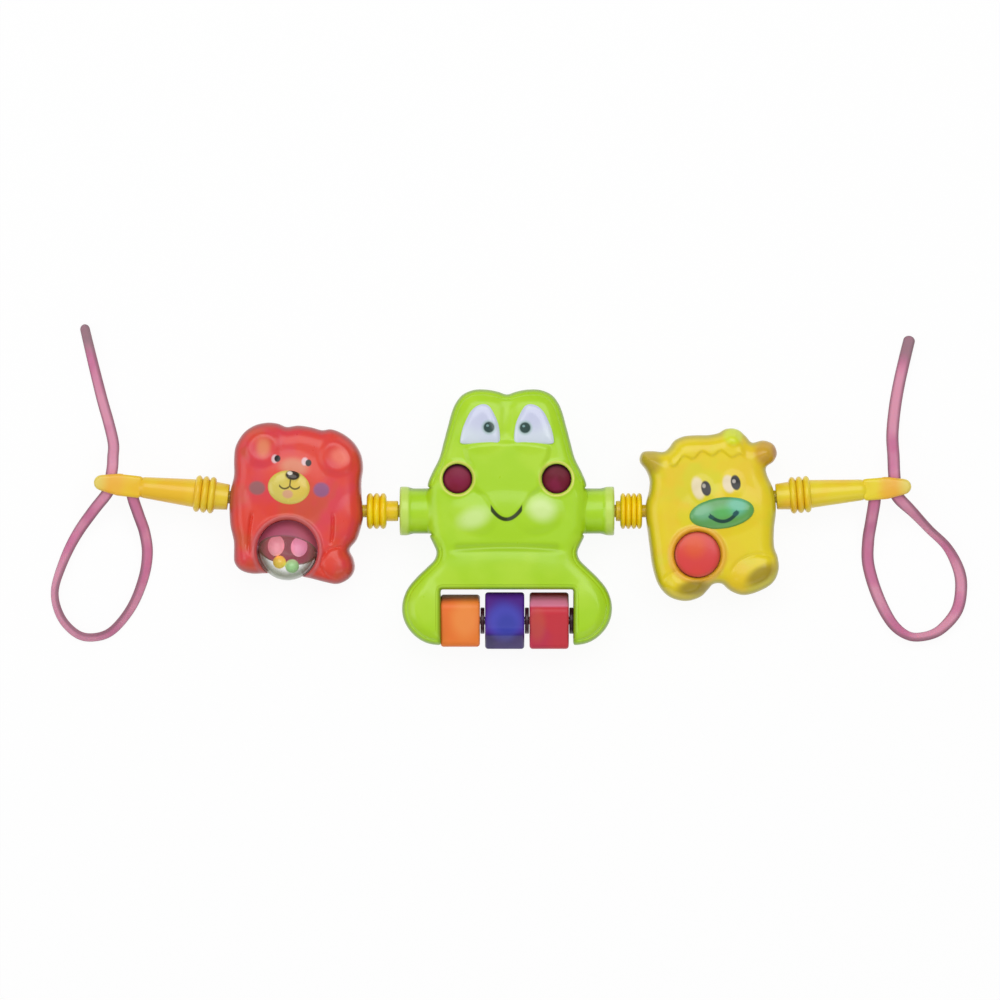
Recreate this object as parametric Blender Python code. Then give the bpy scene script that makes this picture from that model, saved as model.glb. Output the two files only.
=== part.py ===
"""Crib mobile: a frog with three turning blocks, a bear with a rattle ball and a cow with a push
button, strung between two end clips on ball-ended links and tied up by two looped straps.

The toy lies on its back. X runs along the chain, Y towards the heads, Z out of the faces. The
origin is on the frog's flat back, under the chain's axis. Lengths are in metres.
"""

import math

import bmesh
import bpy
from mathutils import Matrix, Vector

MM = 0.001

# Sizes that all the moulded pieces share
AXIS_HEIGHT = 15.5 * MM
BODY_DEPTH = 30.0 * MM
WALL = 2.4 * MM
SEAM_GAP = 0.3 * MM
RUNNING_GAP = 0.3 * MM
OVERRUN = 4.0 * MM
OUTLINE_STEP = 5.4 * MM
CAVITY_MARGIN = 3.8 * MM
BACK_EDGE_WIDTH = 2.6 * MM
BACK_EDGE_RISE = 3.4 * MM

# Ball ends and the sockets that hold them
BALL_RADIUS = 6.0 * MM
NECK_RADIUS = 3.2 * MM
BALL_INSET = 6.5 * MM
LINK_TILT_LIMIT = math.radians(8.5)
SWIVEL_GAP = 0.8 * MM

# Frog
FROG_HALF_WIDTH = 52.3 * MM
FROG_HEAD_HEIGHT = 60.6 * MM
FROG_FOOT_DEPTH = 67.0 * MM
FROG_EDGE_WIDTH = 5.2 * MM
FROG_EDGE_RISE = 6.5 * MM
FROG_ARM_REACH = 53.6 * MM
FROG_ARM_ROOT = 31.0 * MM
FROG_ARM_RADIUS = 11.3 * MM
FROG_CUFF_RADIUS = 12.2 * MM
FROG_CUFF_LENGTH = 4.6 * MM
FROG_MUZZLE_RISE = 1.8 * MM
FROG_CREASE_RADIUS = 2.8 * MM
FROG_CREASE_DEPTH = 1.1 * MM
FROG_HALF_OUTLINE_SHARES = (
    (0.0, 0.960),
    (0.086, 0.983),
    (0.191, 1.0),
    (0.315, 0.998),
    (0.421, 0.960),
    (0.486, 0.894),
    (0.526, 0.817),
    (0.566, 0.693),
    (0.604, 0.569),
    (0.646, 0.437),
    (0.711, 0.322),
    (0.757, 0.223),
    (0.771, 0.099),
    (0.757, -0.060),
    (0.744, -0.172),
    (0.700, -0.251),
    (0.673, -0.306),
    (0.694, -0.364),
    (0.769, -0.424),
    (0.864, -0.496),
    (0.956, -0.588),
    (1.0, -0.699),
    (0.985, -0.809),
    (0.910, -0.907),
    (0.790, -0.976),
    (0.641, -1.0),
    (0.382, -1.0),
    (0.0, -1.0),
)
FROG_MUZZLE_SHARES = (
    (0.0, -0.075),
    (0.16, 0.0),
    (0.30, 0.09),
    (0.47, 0.17),
    (0.50, 0.30),
    (0.40, 0.38),
    (0.20, 0.42),
    (0.0, 0.43),
)
FROG_CREASE_SHARE = -0.27
FROG_SCREW_SHARES = ((0.33, 0.79), (0.48, -0.43))

# Frog's eyes and cheeks, pressed into the front
EYE_THICKNESS = 2.0 * MM
EYE_POCKET_DEPTH = 1.4 * MM
EYE_SHARES = (
    (0.075, 0.565),
    (0.165, 0.555),
    (0.300, 0.553),
    (0.430, 0.553),
    (0.446, 0.590),
    (0.415, 0.700),
    (0.355, 0.815),
    (0.270, 0.875),
    (0.175, 0.870),
    (0.105, 0.775),
    (0.072, 0.670),
)
CHEEK_RADIUS = 7.2 * MM
CHEEK_OFFSET_X = 24.7 * MM
CHEEK_OFFSET_Y = 16.1 * MM
CHEEK_POCKET_DEPTH = 5.0 * MM
CHEEK_RECESS = 0.9 * MM
CHEEK_DOME = 1.8 * MM

# Turning blocks on their axle
BLOCK_WIDTH = 19.6 * MM
BLOCK_FLATS = 23.5 * MM
BLOCK_CORNER = 4.0 * MM
BLOCK_CHAMFER = 1.1 * MM
BLOCK_COUNT = 3
BLOCK_TURNS = (math.radians(10), math.radians(-24), math.radians(22))
BLOCK_SLOT_GAP = 0.7 * MM
AXLE_FOOT_DISTANCE = 12.2 * MM
AXLE_RADIUS = 2.0 * MM
AXLE_SEAT = 6.0 * MM
SPACER_RADIUS = 6.6 * MM
SPACER_WIDTH = 2.0 * MM

# Links between the animals
LINK_NECK_RADIUS = 5.1 * MM
RIB_RADIUS = 9.0 * MM
RIB_GROOVE_RADIUS = 7.0 * MM
LEFT_LINK_REACH = 18.2 * MM
LEFT_LINK_NECK = 5.8 * MM
LEFT_LINK_RIBS = 3
RIGHT_LINK_REACH = 15.6 * MM
RIGHT_LINK_NECK = 2.2 * MM
RIGHT_LINK_RIBS = 3

# End clips
CLIP_REACH = 68.6 * MM
CLIP_NECK_LENGTH = 6.6 * MM
CLIP_NECK_RADIUS = 6.4 * MM
CLIP_RIB_LENGTH = 10.6 * MM
CLIP_RIB_RADIUS = 9.2 * MM
CLIP_RIBS = 3
CLIP_BODY_RADIUS = 7.0 * MM
CLIP_BODY_END_RADIUS = 5.2 * MM
CLIP_HEAD_LENGTH = 24.4 * MM
CLIP_HEAD_WIDTH = 11.2 * MM
CLIP_TIP_WIDTH = 8.0 * MM
CLIP_HEAD_HEIGHT = 8.6 * MM
CLIP_HEAD_EDGE = 1.3 * MM
CLIP_TIP_WALL = 4.8 * MM
CLIP_BRIDGE = 4.4 * MM
CLIP_HEAD_OVERLAP = 3.0 * MM

# Straps
STRAP_WIDTH = 5.2 * MM
STRAP_THICKNESS = 2.4 * MM
STRAP_SLOT_GAP = 0.6 * MM
STRAP_POINTS = 40
STRAP_LIFT = 0.1 * MM
STOP_LENGTH = 2.4 * MM
STOP_MARGIN = 1.2 * MM

# Bear
BEAR_TURN = math.radians(-6.5)
BEAR_HALF_WIDTH = 33.5 * MM
BEAR_HEIGHT = 39.5 * MM
BEAR_DEPTH = 37.0 * MM
BEAR_EDGE_WIDTH = 6.0 * MM
BEAR_EDGE_RISE = 8.0 * MM
BEAR_OUTLINE_SHARES = (
    (1.0, -0.03),
    (0.945, 0.20),
    (0.915, 0.39),
    (0.917, 0.56),
    (0.866, 0.72),
    (0.746, 0.86),
    (0.567, 0.96),
    (0.388, 1.0),
    (0.254, 0.975),
    (0.090, 0.995),
    (-0.104, 1.0),
    (-0.275, 0.965),
    (-0.418, 0.995),
    (-0.582, 0.99),
    (-0.761, 0.935),
    (-0.910, 0.82),
    (-1.0, 0.645),
    (-1.0, 0.47),
    (-0.973, 0.28),
    (-1.0, 0.08),
    (-0.985, -0.16),
    (-0.943, -0.38),
    (-0.866, -0.58),
    (-0.842, -0.76),
    (-0.818, -0.87),
    (-0.716, -0.96),
    (-0.540, -0.99),
    (-0.30, -0.96),
    (0.0, -0.95),
    (0.30, -0.96),
    (0.576, -0.995),
    (0.755, -0.995),
    (0.907, -0.90),
    (0.964, -0.77),
    (0.925, -0.635),
    (0.854, -0.52),
    (0.943, -0.38),
    (0.985, -0.21),
)
BEAR_EAR_RADIUS = 7.4 * MM
BEAR_EAR_SHARES = ((-0.62, 0.68), (0.56, 0.68))
BEAR_FOOT_RADIUS = 6.4 * MM
BEAR_FOOT_SHARES = ((0.72, -0.76),)
BEAR_PAD_RISE = 1.3 * MM
BEAR_MUZZLE_HALF_WIDTH = 10.6 * MM
BEAR_MUZZLE_HALF_HEIGHT = 8.6 * MM
BEAR_MUZZLE_SHARES = (-0.134, 0.21)
BEAR_SCREW_SHARES = ((-0.62, 0.68), (0.56, 0.68), (-0.06, 0.05))

# Rattle ball in the bear's belly
RATTLE_RADIUS = 15.0 * MM
RATTLE_WALL = 1.4 * MM
RATTLE_GAP = 0.8 * MM
RATTLE_SHARES = (-0.057, -0.624)
RATTLE_TURN = math.radians(60)
RATTLE_PIN_RADIUS = 1.8 * MM
RATTLE_PIN_LENGTH = 4.2 * MM
BEAD_SIZES = {
    "bead_pink_left": (4.2 * MM, 5.2 * MM),
    "bead_pink_right": (4.2 * MM, 5.0 * MM),
    "bead_yellow": (3.3 * MM, 3.3 * MM),
    "bead_mint": (3.5 * MM, 3.5 * MM),
}
BEAD_DIRECTION_SHARES = {
    "bead_pink_left": (-0.76, 0.20),
    "bead_pink_right": (0.64, 0.28),
    "bead_yellow": (-0.36, -0.64),
    "bead_mint": (0.30, -0.78),
}

# Cow
COW_TURN = math.radians(7.3)
COW_HALF_WIDTH = 32.5 * MM
COW_HEIGHT = 35.4 * MM
COW_DEPTH = 47.0 * MM
COW_EDGE_WIDTH = 5.0 * MM
COW_EDGE_RISE = 8.0 * MM
COW_OUTLINE_SHARES = (
    (1.0, -0.02),
    (0.98, 0.14),
    (0.925, 0.30),
    (0.925, 0.42),
    (1.05, 0.49),
    (1.115, 0.60),
    (1.075, 0.73),
    (0.93, 0.80),
    (0.755, 0.79),
    (0.675, 0.89),
    (0.56, 1.0),
    (0.40, 1.03),
    (0.27, 0.985),
    (0.10, 0.975),
    (-0.09, 0.995),
    (-0.27, 1.0),
    (-0.42, 0.955),
    (-0.52, 0.86),
    (-0.62, 0.82),
    (-0.78, 0.85),
    (-0.93, 0.85),
    (-0.985, 0.73),
    (-0.91, 0.60),
    (-0.87, 0.46),
    (-0.90, 0.30),
    (-0.975, 0.12),
    (-1.0, -0.05),
    (-1.0, -0.20),
    (-1.0, -0.36),
    (-0.995, -0.58),
    (-0.94, -0.78),
    (-0.80, -0.92),
    (-0.57, -0.985),
    (-0.345, -0.965),
    (-0.21, -0.90),
    (-0.13, -0.85),
    (-0.05, -0.84),
    (0.04, -0.86),
    (0.145, -0.94),
    (0.32, -1.0),
    (0.55, -0.985),
    (0.79, -0.915),
    (0.91, -0.79),
    (0.925, -0.65),
    (0.89, -0.53),
    (0.925, -0.34),
    (0.985, -0.17),
)
COW_FOOT_RADIUS = 6.6 * MM
COW_FOOT_SHARES = ((-0.60, -0.86), (0.58, -0.84))
COW_PAD_RISE = 1.2 * MM
COW_MUZZLE_HALF_WIDTH = 16.2 * MM
COW_MUZZLE_HALF_HEIGHT = 7.8 * MM
COW_MUZZLE_SHARES = (0.15, -0.105)
COW_SCREW_SHARES = ((-0.60, 0.60), (0.60, 0.60), (0.50, -0.68))

# Push button in the cow's belly
BUTTON_RADIUS = 11.2 * MM
BUTTON_SHARES = (-0.30, -0.51)
BUTTON_PROUD = 1.4 * MM
BUTTON_DOME = 1.6 * MM
BUTTON_TRAVEL = 2.5 * MM
BUTTON_FLANGE = 1.5 * MM
BUTTON_FLANGE_THICKNESS = 1.2 * MM
BUTTON_STEM_RADIUS = 2.2 * MM
BUTTON_STEM_DEPTH = 6.0 * MM
BUTTON_BOSS_RADIUS = 5.2 * MM
SPRING_RADIUS = 4.0 * MM
SPRING_WIRE_RADIUS = 0.35 * MM
SPRING_COIL_COUNT = 4
SPRING_STEP_COUNT = 9

# Pressed-in muzzles and raised pads
INSERT_POCKET_DEPTH = 1.4 * MM
INSERT_SIDE = 0.8 * MM
INSERT_DOME = 1.8 * MM

# Screws
SCREW_HEAD_RADIUS = 2.6 * MM
SCREW_HEAD_THICKNESS = 1.5 * MM
SCREW_SHANK_RADIUS = 1.3 * MM
SCREW_LENGTH = 18.0 * MM
SCREW_RECESS = 1.2 * MM
SCREW_BOSS_WALL = 1.3 * MM

# Counts of sides
ROUND_SIDES = 18
SMALL_SIDES = 8
BALL_STEPS = 5
SOCKET_STEPS = 8

# Colours as the photograph shows them: red, green, blue, then roughness and metallic
COLOURS = {
    "lime": ((0.42, 0.70, 0.03), 0.28, 0.0),
    "white": ((0.80, 0.83, 0.90), 0.25, 0.0),
    "plum": ((0.22, 0.02, 0.09), 0.22, 0.0),
    "orange": ((0.90, 0.26, 0.04), 0.30, 0.0),
    "purple": ((0.09, 0.06, 0.36), 0.30, 0.0),
    "red_pink": ((0.62, 0.06, 0.09), 0.30, 0.0),
    "dark_plum": ((0.08, 0.02, 0.06), 0.35, 0.0),
    "steel": ((0.55, 0.56, 0.58), 0.30, 1.0),
    "yellow": ((0.82, 0.55, 0.03), 0.30, 0.0),
    "cow_yellow": ((0.78, 0.62, 0.04), 0.30, 0.0),
    "bear_red": ((0.68, 0.08, 0.05), 0.30, 0.0),
    "muzzle_yellow": ((0.72, 0.56, 0.12), 0.30, 0.0),
    "mauve": ((0.36, 0.06, 0.14), 0.30, 0.0),
    "clear": ((0.75, 0.85, 0.75), 0.08, 0.0),
    "pink": ((0.85, 0.45, 0.55), 0.25, 0.0),
    "mint": ((0.40, 0.65, 0.42), 0.25, 0.0),
    "green": ((0.10, 0.42, 0.20), 0.28, 0.0),
    "coral": ((0.74, 0.10, 0.07), 0.30, 0.0),
    "strap_pink": ((0.62, 0.20, 0.36), 0.35, 0.0),
}

# Routes of the straps, as millimetres of X and Y and the ribbon's turn in degrees, where zero
# lies flat. They start below the clip's inner slot and end below its outer slot.
LEFT_LOOP_ROUTE = (
    (-182.0, -6.0, 20),
    (-179.6, -17.5, 10),
    (-181.5, -31.0, 40),
    (-188.0, -48.0, 62),
    (-198.0, -60.0, 72),
    (-207.5, -63.4, 76),
    (-216.0, -61.5, 74),
    (-223.8, -53.0, 72),
    (-226.8, -40.5, 76),
    (-223.0, -26.0, 56),
    (-214.5, -11.5, 24),
    (-204.6, 1.0, 6),
)
LEFT_TAIL_ROUTE = (
    (-197.6, 27.0, 4),
    (-197.4, 34.0, 8),
    (-199.2, 45.0, 14),
    (-202.0, 56.0, 18),
    (-205.4, 70.0, 26),
    (-209.0, 84.5, 34),
    (-211.0, 93.6, 38),
)
RIGHT_LOOP_ROUTE = (
    (183.2, -0.5, 10),
    (180.8, -12.5, 6),
    (180.4, -27.0, 14),
    (184.6, -42.5, 24),
    (191.6, -56.0, 30),
    (200.2, -62.2, 34),
    (208.8, -63.0, 36),
    (217.4, -59.6, 34),
    (225.4, -50.4, 28),
    (227.8, -39.5, 26),
    (226.6, -29.5, 28),
    (221.2, -19.5, 34),
    (211.4, -11.2, 38),
    (203.6, -1.4, 16),
)
RIGHT_TAIL_ROUTE = (
    (193.4, 27.5, 4),
    (192.6, 38.0, 8),
    (193.6, 51.0, 14),
    (196.0, 63.0, 22),
    (198.9, 76.0, 32),
    (201.4, 87.6, 40),
)
STRAP_FLOOR_RUN = 22.0 * MM


def clear_scene():
    for obj in list(bpy.data.objects):
        bpy.data.objects.remove(obj, do_unlink=True)


def finish(name):
    """The Principled material of one of the named colours."""
    material = bpy.data.materials.get(name)
    if material:
        return material
    colour, roughness, metallic = COLOURS[name]
    material = bpy.data.materials.new(name)
    material.use_nodes = True
    shader = material.node_tree.nodes["Principled BSDF"]
    shader.inputs["Base Color"].default_value = (*colour, 1.0)
    shader.inputs["Roughness"].default_value = roughness
    shader.inputs["Metallic"].default_value = metallic
    return material


def frame_at(name, location, turn=0.0, parent=None):
    """An empty that carries one animal or joint, turned about Z."""
    empty = bpy.data.objects.new(name, None)
    empty.location = location
    empty.rotation_euler = (0.0, 0.0, turn)
    empty.parent = parent
    bpy.context.scene.collection.objects.link(empty)
    return empty


def add_mesh(name, mesh_data, frame, colour="lime", location=(0.0, 0.0, 0.0)):
    """One named object from a bmesh, with its normals out and its round faces smooth."""
    bmesh.ops.recalc_face_normals(mesh_data, faces=mesh_data.faces)
    mesh = bpy.data.meshes.new(name)
    mesh_data.to_mesh(mesh)
    mesh_data.free()
    mesh.shade_smooth()
    mesh.set_sharp_from_angle(angle=math.radians(35))
    mesh.materials.append(finish(colour))
    obj = bpy.data.objects.new(name, mesh)
    obj.parent = frame
    obj.location = location
    bpy.context.scene.collection.objects.link(obj)
    return obj


def helper(obj):
    obj.hide_render = True
    obj.display_type = "WIRE"
    return obj


def combine(obj, operation, others):
    for number, other in enumerate(others):
        helper(other)
        modifier = obj.modifiers.new(f"{operation.lower()}_{other.name}_{number}", "BOOLEAN")
        modifier.operation = operation
        modifier.solver = "EXACT"
        modifier.object = other
    return obj


def cut(obj, *cutters):
    return combine(obj, "DIFFERENCE", cutters)


def fuse(obj, *others):
    return combine(obj, "UNION", others)


def scaled(shares, half_width, height, depth):
    """Outline points from shares of the half width and of the height above or depth below."""
    return [(x * half_width, y * (height if y > 0 else depth)) for x, y in shares]


def spline_loop(points, step):
    """A smooth closed curve through the points, in even steps."""
    dense = []
    count = len(points)
    substeps = 12
    for i in range(count):
        before, here, after, beyond = (Vector(points[(i + k) % count]) for k in (-1, 0, 1, 2))
        for k in range(substeps):
            t = k / substeps
            dense.append(
                0.5
                * (
                    2 * here
                    + (after - before) * t
                    + (2 * before - 5 * here + 4 * after - beyond) * t**2
                    + (3 * here - 3 * after + beyond - before) * t**3
                )
            )
    lengths = [(dense[(i + 1) % len(dense)] - dense[i]).length for i in range(len(dense))]
    total = sum(lengths)
    pieces = max(12, round(total / step))
    loop = []
    travelled = 0.0
    place = 0
    for i in range(pieces):
        target = total * i / pieces
        while travelled + lengths[place] < target:
            travelled += lengths[place]
            place += 1
        share = (target - travelled) / lengths[place]
        loop.append(dense[place].lerp(dense[(place + 1) % len(dense)], share))
    return loop


def inset(loop, distance):
    """The anticlockwise loop moved inwards by the distance."""
    moved = []
    for i, here in enumerate(loop):
        ahead = (loop[(i + 1) % len(loop)] - here).normalized()
        behind = (here - loop[i - 1]).normalized()
        normal = Vector((-(ahead.y + behind.y), ahead.x + behind.x)).normalized()
        stretch = max(0.7, normal.dot(Vector((-ahead.y, ahead.x))))
        moved.append(here + normal * (distance / stretch))
    return moved


def ellipse_loop(half_width, half_height, sides, centre=(0.0, 0.0)):
    return [
        Vector(
            (
                centre[0] + half_width * math.cos(math.tau * i / sides),
                centre[1] + half_height * math.sin(math.tau * i / sides),
            )
        )
        for i in range(sides)
    ]


def loft(rings, place=lambda point, level: (point.x, point.y, level)):
    """A closed bmesh through loops of equal length, each at its own level."""
    data = bmesh.new()
    rows = [[data.verts.new(place(point, level)) for point in loop] for loop, level in rings]
    for low, high in zip(rows, rows[1:]):
        for i in range(len(low)):
            k = (i + 1) % len(low)
            data.faces.new((low[i], low[k], high[k], high[i]))
    data.faces.new(list(reversed(rows[0])))
    data.faces.new(rows[-1])
    return data


def turned(profile, sides):
    """A closed bmesh turned about X from (x, radius) points; a radius of zero is a pole."""
    data = bmesh.new()
    rows = []
    for x, radius in profile:
        if radius <= 0.0:
            rows.append([data.verts.new((x, 0.0, 0.0))])
            continue
        rows.append(
            [
                data.verts.new(
                    (
                        x,
                        radius * math.cos(math.tau * (i + 0.5) / sides),
                        radius * math.sin(math.tau * (i + 0.5) / sides),
                    )
                )
                for i in range(sides)
            ]
        )
    for low, high in zip(rows, rows[1:]):
        for i in range(sides):
            k = (i + 1) % sides
            corners = [low[i % len(low)], low[k % len(low)], high[k % len(high)], high[i % len(high)]]
            data.faces.new(list(dict.fromkeys(corners)))
    for row in (rows[0], rows[-1]):
        if len(row) > 1:
            data.faces.new(row)
    return data


def pillar(name, frame, centre, radius, low, high, sides=SMALL_SIDES, colour="lime"):
    """An upright cylinder between two heights."""
    loop = ellipse_loop(radius, radius, sides, centre)
    return add_mesh(name, loft([(loop, low), (loop, high)]), frame, colour)


def bar(name, frame, start, length, radius, sides=ROUND_SIDES, colour="lime"):
    """A cylinder along X from its start point."""
    return add_mesh(name, turned([(0.0, radius), (length, radius)], sides), frame, colour, start)


def block(name, frame, low, high, colour="lime"):
    loop = [Vector((low[0], low[1])), Vector((high[0], low[1])), Vector(high[:2]), Vector((low[0], high[1]))]
    return add_mesh(name, loft([(loop, low[2]), (loop, high[2])]), frame, colour)


def edge_levels(loop, face, rise, width, steps=3):
    """Loops that round a face's edge off, from the side wall to the flat of the face."""
    towards = 1 if rise > 0 else -1
    levels = [(loop, face - rise)]
    for i in range(1, steps + 1):
        angle = math.pi / 2 * i / steps
        levels.append(
            (inset(loop, width * (1 - math.cos(angle))), face - rise + abs(rise) * towards * math.sin(angle))
        )
    return levels


def front_seam():
    return AXIS_HEIGHT + SEAM_GAP / 2


def rear_seam():
    return AXIS_HEIGHT - SEAM_GAP / 2


def socket_radius():
    return BALL_RADIUS + RUNNING_GAP


def mouth_radius():
    return NECK_RADIUS + BALL_INSET * math.tan(LINK_TILT_LIMIT) + RUNNING_GAP


def socket_cutters(name, frame, reach, side):
    """The hollow for a ball end and the mouth for its neck, in a face at the reach."""
    centre = (side * (reach - BALL_INSET), 0.0, AXIS_HEIGHT)
    profile = [
        (-socket_radius() * math.cos(math.pi * i / SOCKET_STEPS), socket_radius() * math.sin(math.pi * i / SOCKET_STEPS))
        for i in range(SOCKET_STEPS + 1)
    ]
    profile[0] = (profile[0][0], 0.0)
    profile[-1] = (profile[-1][0], 0.0)
    hollow = add_mesh(f"{name}_hollow", turned(profile, ROUND_SIDES), frame, location=centre)
    length = BALL_INSET + OVERRUN
    start = (centre[0] if side > 0 else centre[0] - length, 0.0, AXIS_HEIGHT)
    return hollow, bar(f"{name}_mouth", frame, start, length, mouth_radius())


def socket_block(name, frame, reach, side):
    """What the hollow inside leaves standing round a socket."""
    half = socket_radius() + WALL
    inner = side * (reach - BALL_INSET - half)
    outer = side * (reach + OVERRUN)
    return block(
        name,
        frame,
        (min(inner, outer), -half, -OVERRUN),
        (max(inner, outer), half, BODY_DEPTH + OVERRUN),
    )


def boss_radius():
    return SCREW_HEAD_RADIUS + RUNNING_GAP + SCREW_BOSS_WALL


def screw_hole_cutters(name, frame, centre):
    """The recess and the clearance hole in the rear shell."""
    recess = pillar(
        f"{name}_recess",
        frame,
        centre,
        SCREW_HEAD_RADIUS + RUNNING_GAP,
        -OVERRUN,
        SCREW_RECESS + SCREW_HEAD_THICKNESS + SEAM_GAP,
    )
    hole = pillar(
        f"{name}_hole", frame, centre, SCREW_SHANK_RADIUS + RUNNING_GAP, -OVERRUN, AXIS_HEIGHT + OVERRUN
    )
    return recess, hole


def screw_pilot_cutter(name, frame, centre):
    top = SCREW_RECESS + SCREW_HEAD_THICKNESS + SCREW_LENGTH + SEAM_GAP
    return pillar(f"{name}_pilot", frame, centre, SCREW_SHANK_RADIUS + RUNNING_GAP, rear_seam(), top)


def screw(name, frame, centre):
    """A self-tapping screw, its pan head down."""
    head_low = SCREW_RECESS
    head_high = head_low + SCREW_HEAD_THICKNESS
    tip = head_high + SCREW_LENGTH
    point = SCREW_SHANK_RADIUS
    crown = SCREW_HEAD_THICKNESS / 3
    profile = [
        (head_low, SCREW_HEAD_RADIUS - crown),
        (head_low + crown, SCREW_HEAD_RADIUS),
        (head_high, SCREW_HEAD_RADIUS),
        (head_high, SCREW_SHANK_RADIUS),
        (tip - point, SCREW_SHANK_RADIUS),
        (tip, 0.0),
    ]
    data = turned(profile, SMALL_SIDES)
    bmesh.ops.transform(data, matrix=Matrix.Rotation(-math.pi / 2, 4, "Y"), verts=data.verts)
    return add_mesh(name, data, frame, "steel", (*centre, 0.0))


def shell_pair(name, frame, loop, edge, colour, islands, holes):
    """The front and the rear moulding of a hollow animal.

    islands are what the hollow leaves standing and holes are what both halves lose.
    """
    width, rise = edge
    front_rings = [(loop, front_seam()), *edge_levels(loop, BODY_DEPTH, rise, width)]
    rear_rings = [*reversed(edge_levels(loop, 0.0, -BACK_EDGE_RISE, BACK_EDGE_WIDTH, 2)), (loop, rear_seam())]
    front = add_mesh(f"{name}_front_shell", loft(front_rings), frame, colour)
    rear = add_mesh(f"{name}_rear_shell", loft(rear_rings), frame, colour)
    inner = inset(loop, CAVITY_MARGIN)[::2]
    hollows = []
    for half, low, high in (("front", AXIS_HEIGHT - OVERRUN, BODY_DEPTH - WALL), ("rear", WALL, AXIS_HEIGHT + OVERRUN)):
        hollow = add_mesh(f"{name}_{half}_hollow", loft([(inner, low), (inner, high)]), frame)
        hollows.append(cut(hollow, *islands))
    return cut(front, hollows[0], *holes), cut(rear, hollows[1], *holes)


def dome_levels(loop, low, side_top, top, shrink):
    """Loops of an insert: straight sides, then a low dome."""
    middle = inset(loop, shrink * (1 - math.cos(math.radians(40))))
    upper = inset(loop, shrink * (1 - math.cos(math.radians(65))))
    rise = top - side_top
    return [
        (loop, low),
        (loop, side_top),
        (middle, side_top + rise * math.sin(math.radians(40))),
        (upper, side_top + rise * math.sin(math.radians(70))),
        (inset(loop, shrink), top),
    ]


def pad(name, frame, centre, radius, rise):
    """A raised round pad on a front face."""
    loop = ellipse_loop(radius, radius, ROUND_SIDES, centre)
    return add_mesh(
        name, loft(dome_levels(loop, BODY_DEPTH - WALL / 2, BODY_DEPTH, BODY_DEPTH + rise, radius / 2)), frame
    )


def muzzle(name, frame, front, centre, half_width, half_height, colour):
    """An oval muzzle pressed into a pocket of the front shell."""
    seat = ellipse_loop(half_width + SEAM_GAP, half_height + SEAM_GAP, ROUND_SIDES + 4, centre)
    floor = BODY_DEPTH - INSERT_POCKET_DEPTH
    pocket = add_mesh(f"{name}_pocket", loft([(seat, floor), (seat, BODY_DEPTH + OVERRUN)]), frame)
    cut(front, pocket)
    loop = ellipse_loop(half_width, half_height, ROUND_SIDES + 4, centre)
    side = BODY_DEPTH + INSERT_SIDE
    levels = dome_levels(loop, floor + SEAM_GAP, side, side + INSERT_DOME, half_height * 0.55)
    return add_mesh(name, loft(levels), frame, colour)


def frog_loop():
    right = scaled(FROG_HALF_OUTLINE_SHARES, FROG_HALF_WIDTH, FROG_HEAD_HEIGHT, FROG_FOOT_DEPTH)
    left = [(-x, y) for x, y in right[1:-1]]
    return spline_loop([*reversed(right), *left], OUTLINE_STEP)


def slot_width():
    return BLOCK_COUNT * (BLOCK_WIDTH + SPACER_WIDTH) + (2 * BLOCK_COUNT + 1) * RUNNING_GAP


def axle_drop():
    return FROG_FOOT_DEPTH - AXLE_FOOT_DISTANCE


def block_reach():
    """How far a turning block's rounded corner comes from its axle."""
    return (BLOCK_FLATS / 2 - BLOCK_CORNER) * math.sqrt(2) + BLOCK_CORNER


def arm(name, frame, side, upper):
    """Half of one tubular arm, with a thicker cuff at its end, above or below the seam."""
    seam = front_seam() if upper else rear_seam()
    rings = []
    cuff_start = FROG_ARM_REACH - FROG_CUFF_LENGTH
    step = FROG_CUFF_RADIUS - FROG_ARM_RADIUS
    for reach, radius in (
        (FROG_ARM_ROOT, FROG_ARM_RADIUS),
        (cuff_start - step, FROG_ARM_RADIUS),
        (cuff_start, FROG_CUFF_RADIUS),
        (FROG_ARM_REACH - step, FROG_CUFF_RADIUS),
        (FROG_ARM_REACH, FROG_ARM_RADIUS),
    ):
        start = math.asin(SEAM_GAP / 2 / radius)
        angles = [start + (math.pi - 2 * start) * i / (ROUND_SIDES // 2) for i in range(ROUND_SIDES // 2 + 1)]
        loop = [Vector((radius * math.cos(angle), radius * math.sin(angle))) for angle in angles]
        rings.append((loop, side * reach))
    flip = 1 if upper else -1
    data = loft(rings, lambda point, reach: (reach, point.x, AXIS_HEIGHT + flip * point.y))
    for vertex in data.verts:
        if abs(vertex.co.z - seam) < SEAM_GAP / 10:
            vertex.co.z = seam
    return add_mesh(name, data, frame)


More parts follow.
